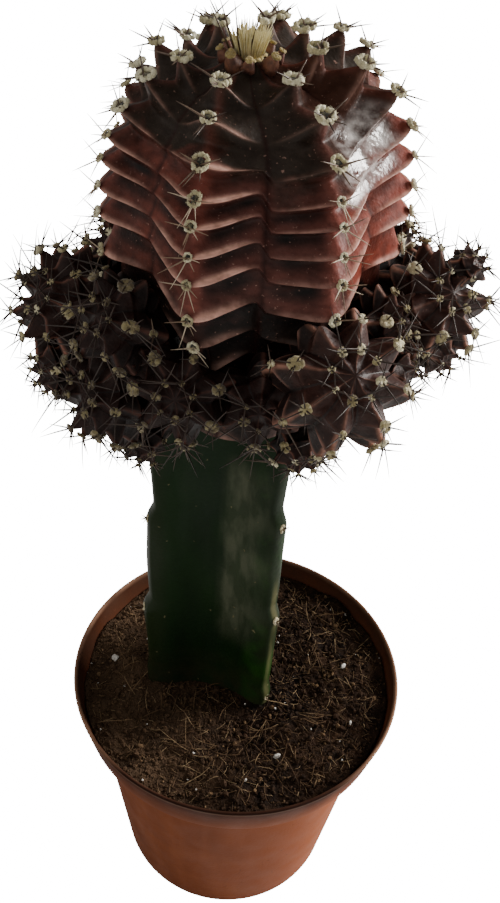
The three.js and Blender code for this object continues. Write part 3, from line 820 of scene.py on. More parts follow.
stem_horns.data.materials.append(
    spine_horn("stem_horn", tone(70, 52, 38), tone(96, 76, 54), tone(140, 116, 86))
)
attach(stem_horns, "root")

# Graft line: the cut edge of the stem, where the head has grown on. It has dried to a seam
# of pale corky crumbs.
SEAM_SIZES = (0.6, 1.7)
SEAM_HEIGHTS = (-1.5, 0.2)


def corky_callus():
    """Dried cork, from brown to cream."""
    look = Finish("corky_callus", tone(104, 92, 64), tone(172, 158, 120), tone(218, 208, 176))
    look.coat(look.patches(1100, 0.45, 0.7), tone(104, 92, 66))
    return look.done(look.uneven(900, 0.8, 1), look.grain(2500, 0.8), 0.2)


heap = Heap()
edge = stem_outline(STEM_TOP)
for x, y in edge[::2] + (np.array(STEM_AXIS) - edge[::2]) * 0.01:
    size = chance.uniform(*SEAM_SIZES)
    base = Vector((x, y, STEM_TOP + chance.uniform(*SEAM_HEIGHTS)))
    heap.add(lump(chance, base, size), ICO_FACES, chance.random())
callus = heap.piece("graft_callus")
callus.data.materials.append(corky_callus())
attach(callus, "root")

# Grafted head: the coloured globe of the moon cactus. Eight ribs carry a tubercle at every
# areole, and a sharp fold runs from each areole down the flanks to the furrow. It is one
# living body that has grown fast to the cut of the rootstock.
HEAD = {
    "centre": (-3.6, 0.1, 200),
    "radius": 27.7,
    "up": 28.6,
    "flatness": 0.64,
    "foot_radius": 12.5,
    "foot_drop": 45.7,
    "lean": 9,
    # bearings of the ribs, and how far each is turned and lifted near the crown
    "ribs": [-72, -19.5, 33.5, 87, 128, 168, 208, 248],
    "crown_turns": [0, 0, 8, 0, 0, 0, 0, 0],
    "lifts": [0, 0, -0.5, 3.6, 3.4, 0.5, -1, -0.8],
    # latitudes of the areoles
    "levels": [76, 60, 44, 32, 23, 12.5, 2, -14, -31, -48, -64],
    "apex_shift": -2.5,
    "dimple": 1.8,
    # depth and shape of the furrows, tubercles and folds
    "furrow": 0.1,
    "fullness": 1,
    "tooth": 2,
    "tooth_width": 0.34,
    "crown_tooth": 1.2,
    "crown_width": 0.16,
    "fold": 0.9,
    "lip": 0.4,
    "climb": 2.5,
    "front_climb": 6,
    "waver": 0.22,
    "crest_width": 0.13,
    "sides_differ": True,
    "aim": None,
    # columns of points from crest to furrow, and height of a row
    "columns": 15,
    "row_gap": 0.31,
}
# Tones of the globe: sunny is painted light and glare a painted highlight; band, furrow and
# front_painted_shade are painted shade; low is also laid as painted shade underneath and at the left; fold is
# partly a painted highlight.
HEAD_TONES = {
    "top": (52, 42, 35), "flank": (118, 62, 52), "low": (30, 20, 16), "fold": (244, 190, 172),
    "band": (16, 10, 10), "crest": (150, 86, 76), "furrow": (42, 17, 14), "sunny": (126, 52, 37),
    "front_painted_shade": (92, 56, 50), "glare": (244, 238, 235),
}


def envelope(head, latitude):
    """Distance of the tubercle tips from the axis, and their height, at a latitude."""
    t = np.radians(np.maximum(latitude, 0))
    dip = head["dimple"] * smooth((latitude - 70) / 20)
    share = np.maximum(-latitude, 0) / 90
    narrowing = smooth(share) ** 1.2
    radius = head["radius"] * np.cos(t) ** head["flatness"]
    radius = radius - (head["radius"] - head["foot_radius"]) * narrowing
    height = np.where(latitude >= 0, head["up"] * np.sin(t) - dip, -head["foot_drop"] * share)
    return radius, height


def sawtooth(step, chin, power):
    """Falls steeply under an areole and rises slowly to the next one down."""
    fall = 1 - smooth(step / chin)
    rise = np.clip((step - chin) / (1 - chin), 0, 1) ** power
    return np.where(step < chin, fall, rise)


def head_points(head, bearing, valley, latitude, step, swell=0):
    """Points on a head; valley is 0 on a crest and 1 in a furrow, step is 0 at an areole."""
    ribs = head["ribs"]
    climb = head["climb"] * smooth(valley / 0.8)
    if head["front_climb"]:
        front = smooth((bearing - ribs[1]) / 2) * smooth((ribs[2] - bearing) / 2)
        steep = smooth((bearing - ribs[1]) / 24) * (1 - smooth((bearing - 4) / 6))
        climb = climb * (1 - front) + head["front_climb"] * steep * front
    climb = climb * smooth((latitude + 70) / 20) * smooth((52 - latitude) / 14)
    radius, height = envelope(head, latitude + climb)
    fade = smooth((latitude + 90) / 25) * smooth(radius / (0.4 * head["radius"]))
    crown = smooth((latitude - 30) / 35)
    width = head["tooth_width"] + head["crown_width"] * crown
    tooth = np.exp(-((valley / width) ** 2)) * sawtooth(step, 0.3, 1.4)
    flank = 0.35 + 0.65 * smooth(valley / head["tooth_width"])
    fold = (2 * sawtooth(step, 0.24, 2) - 1) * (1 - 0.5 * valley) * flank * (1 - 0.6 * crown)
    from_fold = np.minimum(step, 1 - step)
    lip = np.exp(-((from_fold / 0.05) ** 2)) * smooth((0.95 - valley) / 0.4) * flank * (1 - 0.8 * crown)
    waver = np.sin(np.radians(2 * bearing + 40)) * np.cos(np.radians(5 * latitude))
    waver = waver + 0.6 * np.sin(np.radians(7 * bearing)) * np.sin(np.radians(9 * latitude + 30))
    relief = (head["tooth"] + head["crown_tooth"] * crown) * (tooth - 1)
    relief = relief + head["fold"] * fold + head["lip"] * lip + head["waver"] * waver
    relief = relief - head["furrow"] * radius * valley ** head["fullness"]
    tilt = np.radians(np.where(latitude > 0, latitude, latitude / 2))
    around = [*ribs, ribs[0] + 360]
    lift = np.interp(bearing, around, [*head["lifts"], head["lifts"][0]])
    lift = lift * smooth((latitude - 15) / 30) * radius / head["radius"]
    out = radius + (relief * fade + swell) * np.cos(tilt)
    rise = height + lift + (relief * fade + swell) * np.sin(tilt)
    crown_turn = np.interp(bearing, around, [*head["crown_turns"], head["crown_turns"][0]])
    turn = np.radians(bearing + crown * crown_turn)
    shift = head["apex_shift"] * smooth((latitude - 30) / 60)
    points = np.stack(np.broadcast_arrays(out * np.sin(turn) + shift, -out * np.cos(turn), rise), axis=-1)
    return placed(head, points)


def aimed(head):
    """The turn that brings a head's upright axis to its aim."""
    if head["aim"] is None:
        return np.eye(3)
    return np.array(Vector((0, 0, 1)).rotation_difference(Vector(head["aim"])).to_matrix())


def placed(head, points):
    """Leans a head to the front, turns its axis to its aim and brings it to its centre."""
    share = smooth(1 + points[..., 2] / (head["foot_drop"] * 0.8))
    angle = np.radians(head["lean"] * share)
    y = points[..., 1] * np.cos(angle) - points[..., 2] * np.sin(angle)
    z = points[..., 1] * np.sin(angle) + points[..., 2] * np.cos(angle)
    leaned = np.stack([points[..., 0], y, z], axis=-1)
    return leaned @ aimed(head).T + np.array(head["centre"])


def inside_head(head, point, margin):
    """True where a point lies in a head's outline grown by a margin."""
    local = (np.array(point) - np.array(head["centre"])) @ aimed(head)
    angle = -math.radians(head["lean"] * float(smooth(1 + local[2] / (head["foot_drop"] * 0.8))))
    y = local[1] * math.cos(angle) - local[2] * math.sin(angle)
    z = local[1] * math.sin(angle) + local[2] * math.cos(angle)
    grown = (head["up"] if z > 0 else head["foot_drop"]) + margin
    if abs(z) >= grown:
        return False
    latitude = math.degrees(math.asin(z / grown)) if z > 0 else 90 * z / grown
    return math.hypot(local[0], y) < envelope(head, np.array(latitude))[0] + margin


def rib_columns(head):
    """Bearing and valley of each column, closest together at the crests."""
    bearings, places = [], []
    ribs = [*head["ribs"], head["ribs"][0] + 360]
    for rib, following in zip(ribs[:-1], ribs[1:]):
        half = (following - rib) / 2
        for k in range(2 * head["columns"]):
            t = k / head["columns"]
            valley = (t if t <= 1 else 2 - t) ** 1.2
            bearings.append(rib + half * (valley if t <= 1 else 2 - valley))
            places.append(valley)
    return np.array(bearings), np.array(places)


def level_rows(head):
    """Latitude and step of each row from the foot up, closest together at the folds."""
    stops = [90, *head["levels"], -90]
    latitudes, steps = [], []
    for k, (upper, lower) in enumerate(zip(stops[:-1], stops[1:])):
        arc = head["radius"] * math.radians(upper - lower)
        count = max(5, round(arc / head["row_gap"]))
        for j in range(1 if k == 0 else 0, count):
            x = j / count
            step = x - 0.6 * math.sin(math.tau * x) / math.tau
            latitudes.append(upper + (lower - upper) * step)
            steps.append(step)
    latitudes.append(-90)
    steps.append(0.5)
    return np.array(latitudes[::-1])[:, None], np.array(steps[::-1])[:, None]


def head_piece(name, head):
    """The whole skin of a head, with masks for its folds, crests, furrows and height."""
    bearing, valley = rib_columns(head)
    latitude, step = level_rows(head)
    rings = head_points(head, bearing, valley, latitude, step)
    bottom = placed(head, np.array([(0, 0, -head["foot_drop"])]))[0]
    top = placed(head, np.array([(head["apex_shift"], 0, head["up"] - head["dimple"])]))[0]
    fold_width = 0.07
    along_fold = smooth((1 - valley) / 0.5) * smooth((valley - 0.02) / 0.08)
    beside_crest = smooth(valley / 0.16) * (1 - 0.45 * smooth((valley - 0.7) / 0.3))
    # The band is where painted shade lies, in the hollow under each fold.
    band = smooth((step - 0.02) / 0.06) * (1 - smooth((step - 0.4) / 0.42)) * beside_crest
    masks = {
        "band": band * (1 - 0.7 * smooth((latitude - 28) / 6)),
        "crest": np.exp(-((valley / head["crest_width"]) ** 2)),
        "furrow": smooth((valley - 0.95) / 0.05),
        "latitude": latitude / 90 - 0.13 * smooth(latitude / 20) * np.exp(-(((bearing + 16) / 15) ** 2)),
    }
    if head["sides_differ"]:
        # The front has painted shade. A painted highlight makes the folds at its left paler and wider,
        # and painted shade dims those at its right. The left side has painted shade. The right side
        # faces the window: painted light makes it redder, and high up it has a smoother glare
        # with a painted highlight.
        in_front = smooth((bearing + 19) / 4) * smooth((34 - bearing) / 3)
        front_left = in_front * smooth((2 - bearing) / 10)
        # Painted highlight widens and brightens the folds at the front's left; painted shade dims those at
        # its right.
        fold_width = fold_width + 0.05 * front_left
        along_fold = along_fold * (1 - 0.55 * in_front * smooth((bearing - 2) / 8)) * (1 + 1.1 * front_left)
        high_up = smooth((latitude - 21) / 7) * smooth((58 - latitude) / 8)
        masks["front_painted_shade"] = in_front
        masks["left_painted_shade"] = smooth((-48 - bearing) / 22) + smooth((bearing - 185) / 40)
        masks["sunny"] = smooth((bearing - 36) / 6) * smooth((118 - bearing) / 20)
        masks["glare"] = smooth((bearing - 40) / 6) * smooth((84 - bearing) / 12) * high_up
    masks["fold"] = np.exp(-(((1 - step) / fold_width) ** 2)) + np.exp(-((step / 0.03) ** 2))
    masks["fold"] = masks["fold"] * along_fold
    shape = np.broadcast_shapes(valley.shape, step.shape)
    masks = {label: np.append(np.broadcast_to(m, shape).ravel(), [0, 0]) for label, m in masks.items()}
    masks["latitude"][-1] = 1
    return mesh_piece(name, *closed_stack(rings, bottom, top), **masks)


def cactus_skin(name, tones, fold_share, band_share, low_share, gloss):
    """Coloured skin: dark crown, warm flanks, rosy crests, pale folds that are partly a painted highlight,
    and painted shade under the folds, in the furrows and underneath.
    """
    own = {label: tone(*parts) for label, parts in tones.items()}
    sides_differ = "sunny" in own
    look = Finish(name, own["flank"])
    cloud = look.patches(130, 0.3, 0.7)
    level = look.plus(look.mask("latitude"), look.between(cloud, -0.14, 0.14))
    crown = look.rising(level, 0.3, 0.5)
    under = look.rising(level, -0.1, -0.28)
    look.coat(look.patches(260, 0.35, 0.7), look.mix(0.5, own["flank"], own["low"]))
    crown_tone = own["top"]
    if sides_differ:
        sunny = look.mask("sunny")
        glare = look.mask("glare")
        # Painted light: the side facing the window is redder.
        look.coat(sunny, look.mix(look.patches(150, 0.3, 0.7), own["sunny"], own["flank"]))
        # Painted shade on the left side.
        look.coat(look.mask("left_painted_shade"), own["low"], 0.5)
        # Painted shade on the front.
        look.coat(look.mask("front_painted_shade"), own["front_painted_shade"], 0.75)
        # Painted light warms the crown on the window side as well.
        crown_tone = look.mix(look.times(sunny, 0.14), own["top"], own["sunny"])
    # The underside is darker, partly its own colour and partly painted shade.
    look.coat(under, own["low"])
    look.coat(crown, crown_tone)
    # Painted shade in a band under each fold, less of it on the side with painted light.
    shade = look.times(look.mask("band"), look.uneven(170, 0.65, 1, cuts=(0.3, 0.65)))
    shade = look.times(shade, look.between(crown, band_share, band_share * 0.35))
    if sides_differ:
        shade = look.times(shade, look.between(sunny, 1, 0.62))
    look.coat(shade, own["band"])
    blush = look.times(look.mask("crest"), look.between(cloud, 0.35, 0.9))
    blush = look.times(blush, look.between(crown, 1, 0.45))
    look.coat(look.times(blush, look.between(under, 1, low_share)), own["crest"])
    # Pale fold lines, partly the skin's own colour and partly a painted highlight.
    line = look.times(look.mask("fold"), look.between(crown, fold_share, fold_share * 0.25))
    line = look.times(line, look.uneven(220, 0.45, 1, cuts=(0.3, 0.6)))
    look.coat(look.times(line, look.between(under, 1, low_share)), own["fold"])
    # Painted shade in the furrows.
    look.coat(look.mask("furrow"), own["furrow"], 0.75)
    look.coat(look.patches(1500, 0.66, 0.74), look.mix(0.3, look.colour, own["fold"]))
    if sides_differ:
        # Painted highlight: a pale smooth patch where the window glares.
        look.coat(look.times(glare, look.patches(300, 0.4, 0.6)), own["glare"], 0.7)
    look.coat(look.patches(420, 0.42, 0.66, (1, 1, 1.8)), tone(186, 176, 172), 0.75, "MULTIPLY")
    rough = look.uneven(240, 0.4, 0.6)
    if sides_differ:
        # The wet-looking glare is smoother. What an export keeps of the gloss is the socket's own value.
        rough = look.times(rough, look.between(glare, 1, 0.32))
        shine = look.plus(look.between(sunny, gloss, gloss * 0.25), glare)
        look.tree.links.new(shine, look.shader.inputs["Specular IOR Level"])
    return look.done(rough, look.plus(look.grain(560, 0.6), look.grain(1500, 0.4)), 0.09, gloss)


head = head_piece("scion_globe", HEAD)
head.data.materials.append(
    cactus_skin("head_skin", HEAD_TONES, fold_share=0.9, band_share=1, low_share=0.2, gloss=0.16)
)
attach(head, "root")
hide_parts("scion_head")

# Areoles and spines of the head: every tubercle carries a ring of cream wool round a
# greenish core, and a few thin horny spines stand out of it. They grow from the skin, but
# not where an offset sits, so the shapes of the offsets and buds are settled here as well.
CROWN_FROM = 40
CROWN_LIT = (0, 0.25)
SPINE_STOPS = (0, 0.25, 0.5, 0.75, 1)
SPINE_TAPER = (1, 0.9, 0.75, 0.5, 0.18)
HEAD_PAD = {
    "size": 2.05, "spread": (0.78, 1.22), "from": 20, "full": 60, "crown": 0.62, "raise": 0.3, "shift": 0.1,
    "hollow": 1, "strands": 7, "tall": 1.12, "tones": (0.35, 1),
}
HEAD_SPINES = {
    "length": 4.6, "turns": [75, 180, -75], "more": [150, -130], "range": (0.5, 1.15), "rise": 0.5,
    "lowest": -32, "seed": 11, "half_width": 0.14, "crown_thicker": 1.5, "lit": (0.3, 1),
}
OFFSET = {
    "lean": 0,
    "apex_shift": 0,
    "flatness": 0.66,
    "furrow": 0.2,
    "fullness": 1.3,
    "tooth": 1.9,
    "tooth_width": 0.48,
    "crown_tooth": 0,
    "crown_width": 0,
    "fold": 0.3,
    "lip": 0.1,
    "climb": 0,
    "front_climb": 0,
    "dimple": 1.2,
    "waver": 0.12,
    "crest_width": 0.09,
    "sides_differ": False,
    "levels": [79, 50, 20, -12],
    "columns": 9,
    "row_gap": 0.42,
}
OFFSETS = [
    # place, centre, radius, aim, ribs
    ("front_right", (13.4, -20.5, 175.9), 13.6, (0.24, -0.7, 0.68), 8),
    ("right", (30.6, 0.4, 181.2), 11.6, (0.4, -0.62, 0.68), 7),
    ("right_small", (21.8, -7.6, 180.6), 8.4, (0.7, -0.5, 0.5), 6),
    ("left", (-36.6, -0.8, 175.8), 12.2, (-0.62, -0.52, 0.58), 8),
    ("front_left", (-27.4, -13, 165.2), 11, (-0.6, -0.7, 0.35), 7),
    ("left_small", (-25.4, -14, 181.3), 9.8, (-0.5, -0.66, 0.55), 6),
    ("front", (-13.4, -18.4, 170.6), 10.6, (-0.15, -0.9, 0.35), 7),
    ("front_small", (0, -18.8, 170), 9.2, (0.05, -0.9, 0.2), 6),
    ("back_right", (21.4, 18.6, 181), 10.6, (0.6, 0.55, 0.6), 7),
    ("back", (-0.6, 24.2, 173.4), 9.6, (0, 0.9, 0.45), 6),
    ("back_left", (-27.4, 16.4, 178.2), 10.2, (-0.6, 0.6, 0.55), 7),
]
BUDS = [
    # place, centre, radius, aim, ribs
    ("low_left", (-39, -8, 166), 5.6, (-0.8, -0.5, 0.1), 6),
    ("gap_left", (-21, -15.5, 175), 5.4, (0.2, -0.9, 0.3), 5),
    ("under_left", (-22.3, -11.5, 152.6), 5.4, (-0.5, -0.7, -0.4), 5),
    ("under_right", (8.6, -17, 158.6), 5.8, (0.2, -0.8, -0.3), 6),
    ("gap_right", (24, -13.6, 174.5), 5.2, (0.8, -0.6, 0), 5),
    ("low_right", (33, -5, 174.4), 4.8, (0.6, -0.7, -0.2), 5),
    ("tip_right", (36.8, 1.4, 189), 4.2, (0.7, -0.3, 0.7), 5),
]


def small_head(centre, radius, aim, ribs, up, foot_radius, foot_drop, **changes):
    """Numbers of an offset or a bud, with its height and foot given as shares of its radius."""
    return {
        **OFFSET, "centre": centre, "radius": radius, "aim": aim, "up": radius * up,
        "foot_radius": radius * foot_radius, "foot_drop": radius * foot_drop,
        "ribs": [360 * k / ribs for k in range(ribs)], "crown_turns": [0] * ribs, "lifts": [0] * ribs,
        **changes,
    }


young = {place: small_head(*numbers, up=0.86, foot_radius=0.3, foot_drop=1.1) for place, *numbers in OFFSETS}
bud_form = {"up": 0.9, "foot_radius": 0.7, "foot_drop": 1, "tooth": 0.8, "furrow": 0.12}
buds = {
    place: small_head(*numbers, **bud_form, levels=[68, 28, -20], columns=7) for place, *numbers in BUDS
}


def near_rootstock(point):
    """True where a point lies in the stem or just over its cut."""
    away = math.hypot(point[0] - STEM_AXIS[0], point[1] - STEM_AXIS[1])
    return point[2] < STEM_TOP + 1.2 and away < STEM_WINGS[0][1] + 1.2


def growth_numbers(seed):
    """The plant's own run of numbers, which sets how each spine scatters."""
    state = seed
    while True:
        state = (state * 1664525 + 1013904223) % 4294967296
        yield state / 4294967296


def areole_frames(head):
    """Seat, outward and upward direction of every areole, from the lowest level up."""
    for latitude in sorted(head["levels"]):
        for rib in head["ribs"]:
            near = ((latitude, 0), (latitude, 1), (latitude + 1, 0))
            seat, outer, upper = (Vector(head_points(head, rib, 0, lat, 0, swell)) for lat, swell in near)
            out = (outer - seat).normalized()
            up = upper - seat
            up = (up - out * up.dot(out)).normalized()
            yield latitude, seat, out, up


def spine_ways(chance, numbers, spines):
    """Turn, rise and length of each spine of one areole: the plant's own, then looser ones."""
    ways = []
    for turn in spines["turns"]:
        angle = math.radians(turn + 24 * (next(numbers) - 0.5))
        rise = spines["rise"] + 0.35 * next(numbers)
        ways.append((angle, rise, spines["length"] * (1 + 0.4 * (next(numbers) - 0.5))))
    for turn in spines["more"]:
        angle = math.radians(turn + chance.uniform(-24, 24))
        length = spines["length"] * chance.uniform(*spines["range"])
        ways.append((angle, spines["rise"] + chance.uniform(-0.3, 0.4), length))
    return ways


def grow_areoles(chance, wool, horns, head, spines, pad, others):
    """Sets the wool and the spines of one head, but for those inside a neighbour."""
    numbers = growth_numbers(spines["seed"])
    for latitude, seat, out, up in areole_frames(head):
        open_air = not any(inside_head(other, seat, 0.3) for other in others) and not near_rootstock(seat)
        if open_air:
            grown = float(smooth((latitude - pad["from"]) / (pad["full"] - pad["from"])))
            size = pad["size"] * (1 + pad["crown"] * grown) * chance.uniform(*pad["spread"])
            facing = (out + up * pad["raise"]).normalized()
            middle = seat + up * pad["shift"] * size
            kind = pad["hollow"], pad["strands"], pad["tall"], pad["tones"]
            wool.add_pad(chance, middle, facing, up, size, *kind)
        if latitude < spines["lowest"]:
            continue
        near_crown = latitude > CROWN_FROM
        half_width = spines["half_width"] * (spines["crown_thicker"] if near_crown else 1)
        side = out.cross(up)
        for angle, rise, length in spine_ways(chance, numbers, spines):
            way = (up * math.cos(angle) + side * math.sin(angle) + out * rise).normalized()
            drop = (side * chance.uniform(-1, 1) - up * chance.uniform(0, 1) - out * 0.4) * length * 0.07
            path = [seat + way * length * t + drop * t * t for t in SPINE_STOPS]
            if any(inside_head(other, p, 0.6) for other in others for p in path[1:]):
                continue
            if open_air and not any(near_rootstock(p) for p in path):
                lit = chance.uniform(*(CROWN_LIT if near_crown else spines["lit"]))
                horns.add_thread(path, [half_width * r for r in SPINE_TAPER], lit)


wool, horns = Wool(), Heap()
grow_areoles(chance, wool, horns, HEAD, HEAD_SPINES, HEAD_PAD, list(young.values()))
head_wool = wool.piece("scion_areoles")
head_wool.data.materials.append(
    dry_wool("head_wool", tone(136, 124, 84), tone(194, 184, 142), tone(240, 234, 202), tone(24, 25, 17))
)
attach(head_wool, "root")
head_horns = horns.piece("scion_spines")
head_horns.data.materials.append(
    spine_horn("head_horn", tone(58, 42, 36), tone(150, 124, 100), tone(226, 208, 182))
)
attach(head_horns, "root")

# Offsets: eleven young heads, with seven small buds between them, that have sprouted round
# the foot of the globe. They are darker and rounder than it, with woolly buttons for
# areoles. Those towards the window on the right are redder by painted light, and those
# at the left duller by painted shade.
OFFSET_PAD = {
    "size": 2.35, "spread": (0.65, 1.25), "from": 50, "full": 79, "crown": -0.3, "raise": 0.1, "shift": 0.05,
    "hollow": 0, "strands": 6, "tall": 1.5, "tones": (0.25, 0.95),
}
# Painted shade: the wool on the shaded offsets is darker.
SHADED_PAD_TONES = (0, 0.15)
OFFSET_SPINES = {
    "length": 4.2, "turns": [55, -115], "more": [125, -50, 180], "range": (0.7, 2.1), "rise": 0.6,
    "lowest": -40, "half_width": 0.18, "crown_thicker": 1, "lit": (0, 0.6),
}
FIRST_SEED = 31
FULL_SIZE_RADIUS = 8
SHADED = ("front_left", "left_small", "front", "front_small", "gap_left", "under_left")
SUNLIT = ("front_right", "right", "right_small", "gap_right", "low_right", "tip_right")
# As on the globe, band and furrow are painted shade, low is partly painted shade underneath, and fold is
# partly a painted highlight.
OFFSET_TONES = {
    "top": (50, 30, 26), "flank": (30, 19, 17), "low": (25, 17, 15), "fold": (138, 94, 82),
    "band": (28, 18, 18), "crest": (206, 140, 118), "furrow": (16, 10, 10),
}
# Painted shade and painted light: shaded and sunlit copies of the offsets' tones.
SHADED_TONES = {**OFFSET_TONES, "top": (44, 27, 24), "fold": (92, 62, 54), "crest": (120, 78, 66)}
SUNLIT_TONES = {
    **OFFSET_TONES, "top": (62, 38, 33), "flank": (42, 27, 24), "low": (32, 22, 19), "fold": (190, 138, 120),
    "crest": (226, 164, 140),
}

dark_skin = cactus_skin("offset_skin", OFFSET_TONES, fold_share=0.35, band_share=0.7, low_share=1, gloss=0.2)
# Copies of the skin with painted shade for the shaded offsets and painted light for the sunlit ones.
painted_shade_skin = cactus_skin(
    "shaded_offset_skin", SHADED_TONES, fold_share=0.35, band_share=0.7, low_share=1, gloss=0.2
)
painted_light_skin = cactus_skin(
    "sunlit_offset_skin", SUNLIT_TONES, fold_share=0.6, band_share=0.7, low_share=1, gloss=0.26
)
wool, horns = Wool(), Heap()
sprouts = {**young, **buds}
for k, (place, values) in enumerate(sprouts.items()):
    offset = head_piece(f"offset_{place}_head" if place in young else f"bud_{place}", values)
    # Each offset takes the plain skin, the painted-shade copy or the painted-light copy by where it sits.
    skin = dark_skin
    if place in SHADED:
        skin = painted_shade_skin
    elif place in SUNLIT:
        skin = painted_light_skin
    offset.data.materials.append(skin)
    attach(offset, "root")
    if place in young:
        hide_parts(f"offset_{place}")
    others = [HEAD] + [other for name, other in sprouts.items() if name != place]
    share = min(1, values["radius"] / FULL_SIZE_RADIUS)
    spines = {**OFFSET_SPINES, "seed": FIRST_SEED + k, "length": OFFSET_SPINES["length"] * share}
    # Painted shade on the wool of the shaded offsets.
    tones = SHADED_PAD_TONES if place in SHADED else OFFSET_PAD["tones"]
    pad = {**OFFSET_PAD, "size": OFFSET_PAD["size"] * share, "tones": tones}
    grow_areoles(chance, wool, horns, values, spines, pad, others)
offset_wool = wool.piece("offset_areoles")
offset_wool.data.materials.append(
    dry_wool("offset_wool", tone(78, 64, 42), tone(172, 158, 112), tone(242, 234, 198), tone(76, 68, 44))
)
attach(offset_wool, "root")
offset_horns = horns.piece("offset_spines")
offset_horns.data.materials.append(
    spine_horn("offset_horn", tone(48, 36, 30), tone(84, 66, 54), tone(176, 156, 128))
)
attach(offset_horns, "root")

# Necks: the short stalks by which the eleven offsets have grown out of the globe's foot.
# They are thick where they leave it and of the same dark skin.
NECK_WIDTH = 0.42
NECK_DROP = 3
NECK_REACH = 0.85
NECK_RINGS = 9
NECK_SIDES = 20
heap = Heap()
for values in young.values():
    start = np.array(values["centre"])
    end = np.array((HEAD["centre"][0], HEAD["centre"][1], start[2] - NECK_DROP))
    along = Vector(end - start).normalized()
    side = np.array(along.orthogonal().normalized())
    other = np.array(along.cross(Vector(side)))
    rings = []
    for t in np.linspace(0, NECK_REACH, NECK_RINGS):
        radius = values["radius"] * NECK_WIDTH * (1 + 0.9 * (2 * t - 0.6) ** 2)
        centre = start + (end - start) * t
        ring = []
        for i in range(NECK_SIDES):
            angle = math.tau * i / NECK_SIDES
            wide = radius * (1 + 0.05 * math.sin(5 * angle + 3 * t))
            ring.append(centre + side * math.cos(angle) * wide + other * math.sin(angle) * wide)
        rings.append(ring)
    heap.add(*closed_stack(np.array(rings), start, start + (end - start) * NECK_REACH), 0)
necks = heap.piece("offset_necks")
necks.data.materials.append(dark_skin)
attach(necks, "root")

# Crown tuft: the growing point of the globe, a bed of olive-yellow wool from which the
# newest spines stand up in a brush. It has grown in the dimple at the top.
CROWN_RADIUS = 2.4
CROWN_PAD_SIZE = 2
CROWN_PADS = [
    # distance from the middle, count
    (0, 1),
    (1.3, 6),
    (2.1, 8),
]
CROWN_BRISTLES = 420
BRISTLE_LENGTHS = (2.8, 5.4)
BRISTLE_HALF_WIDTH = 0.14
BRISTLE_STOPS = (0, 0.35, 0.7, 1)
BRISTLE_TAPER = (1, 0.9, 0.6, 0.2)
LONG_BRISTLES = [
    # lean, length
    (-0.28, 9.4),
    (-0.42, 8.2),
    (-0.12, 8.6),
    (0.2, 7.4),
]
LONG_BRISTLE_WIDTHS = (0.2, 0.18, 0.14, 0.06)
lean = math.radians(HEAD["lean"])
crown = Vector(placed(HEAD, np.array([(HEAD["apex_shift"] + 0.3, 0, HEAD["up"] - HEAD["dimple"])]))[0])
crown_up = Vector((0, -math.sin(lean), math.cos(lean)))
wool, horns = Wool(), Heap()
for far, count in CROWN_PADS:
    for i in range(count):
        angle = math.tau * (i + chance.random() * 0.4) / count
        spoke = Vector((math.cos(angle), math.sin(angle), 0))
        seat = crown + spoke * far + crown_up * 0.1
        out = (crown_up + spoke * far * 0.12).normalized()
        wool.add_pad(chance, seat, out, spoke, CROWN_PAD_SIZE, hollow=0, strands=5)
for _ in range(CROWN_BRISTLES):
    angle = chance.uniform(0, math.tau)
    far = CROWN_RADIUS * chance.random() ** 0.6
    spoke = Vector((math.cos(angle), math.sin(angle), 0))
    root = crown + spoke * far + crown_up * 0.2
    way = (crown_up + spoke * chance.uniform(-0.1, 0.5) * far / CROWN_RADIUS).normalized()
    length = chance.uniform(*BRISTLE_LENGTHS)
    path = [root + way * length * t + spoke * length * 0.06 * t * t for t in BRISTLE_STOPS]
    radii = [BRISTLE_HALF_WIDTH * r for r in BRISTLE_TAPER]
    horns.add_thread(path, radii, 0.2 + 0.8 * chance.random())
for lean, length in LONG_BRISTLES:
    way = (crown_up + Vector((lean, 0.05, 0))).normalized()
    root = crown + Vector((lean * 4 - 0.8, -2.2, 0.4))
    path = [root + way * length * t + Vector((lean, 0, 0)) * t * t for t in BRISTLE_STOPS]
    horns.add_thread(path, LONG_BRISTLE_WIDTHS, 0)
crown_wool = wool.piece("crown_wool")
crown_wool.data.materials.append(
    dry_wool("young_wool", tone(124, 104, 56), tone(176, 154, 92), tone(218, 202, 146), tone(96, 82, 46))
)
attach(crown_wool, "root")
crown_horns = horns.piece("crown_bristles")
crown_horns.data.materials.append(
    spine_horn("young_horn", tone(72, 54, 36), tone(222, 202, 132), tone(252, 244, 200), at=0.25)
)
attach(crown_horns, "root")

# Young tubercles: blunt cones that swell round the tuft, each with its first wool. They are
# softer and redder than the old ones and belong to the globe.
YOUNG_TUBERCLES = 8
YOUNG_CIRCLE = 4.4
YOUNG_PAD_SIZE = 1.7
YOUNG_SIDES = 16
YOUNG_PROFILE = [
    # radius, height
    (1.4, -1.2),
    (1.2, -0.3),
    (0.9, 0.4),
    (0.7, 0.9),
    (0.45, 1.2),
    (0.2, 1.3),
]


def young_skin():
    """Fresh red-brown skin with darker patches."""
    look = Finish("young_skin", tone(92, 52, 43))
    look.coat(look.patches(320, 0.35, 0.65), tone(130, 84, 60))
    look.coat(look.patches(700, 0.45, 0.7), tone(58, 34, 29))
    return look.done(look.uneven(400, 0.45, 0.65), look.grain(1500, 0.5), 0.08)


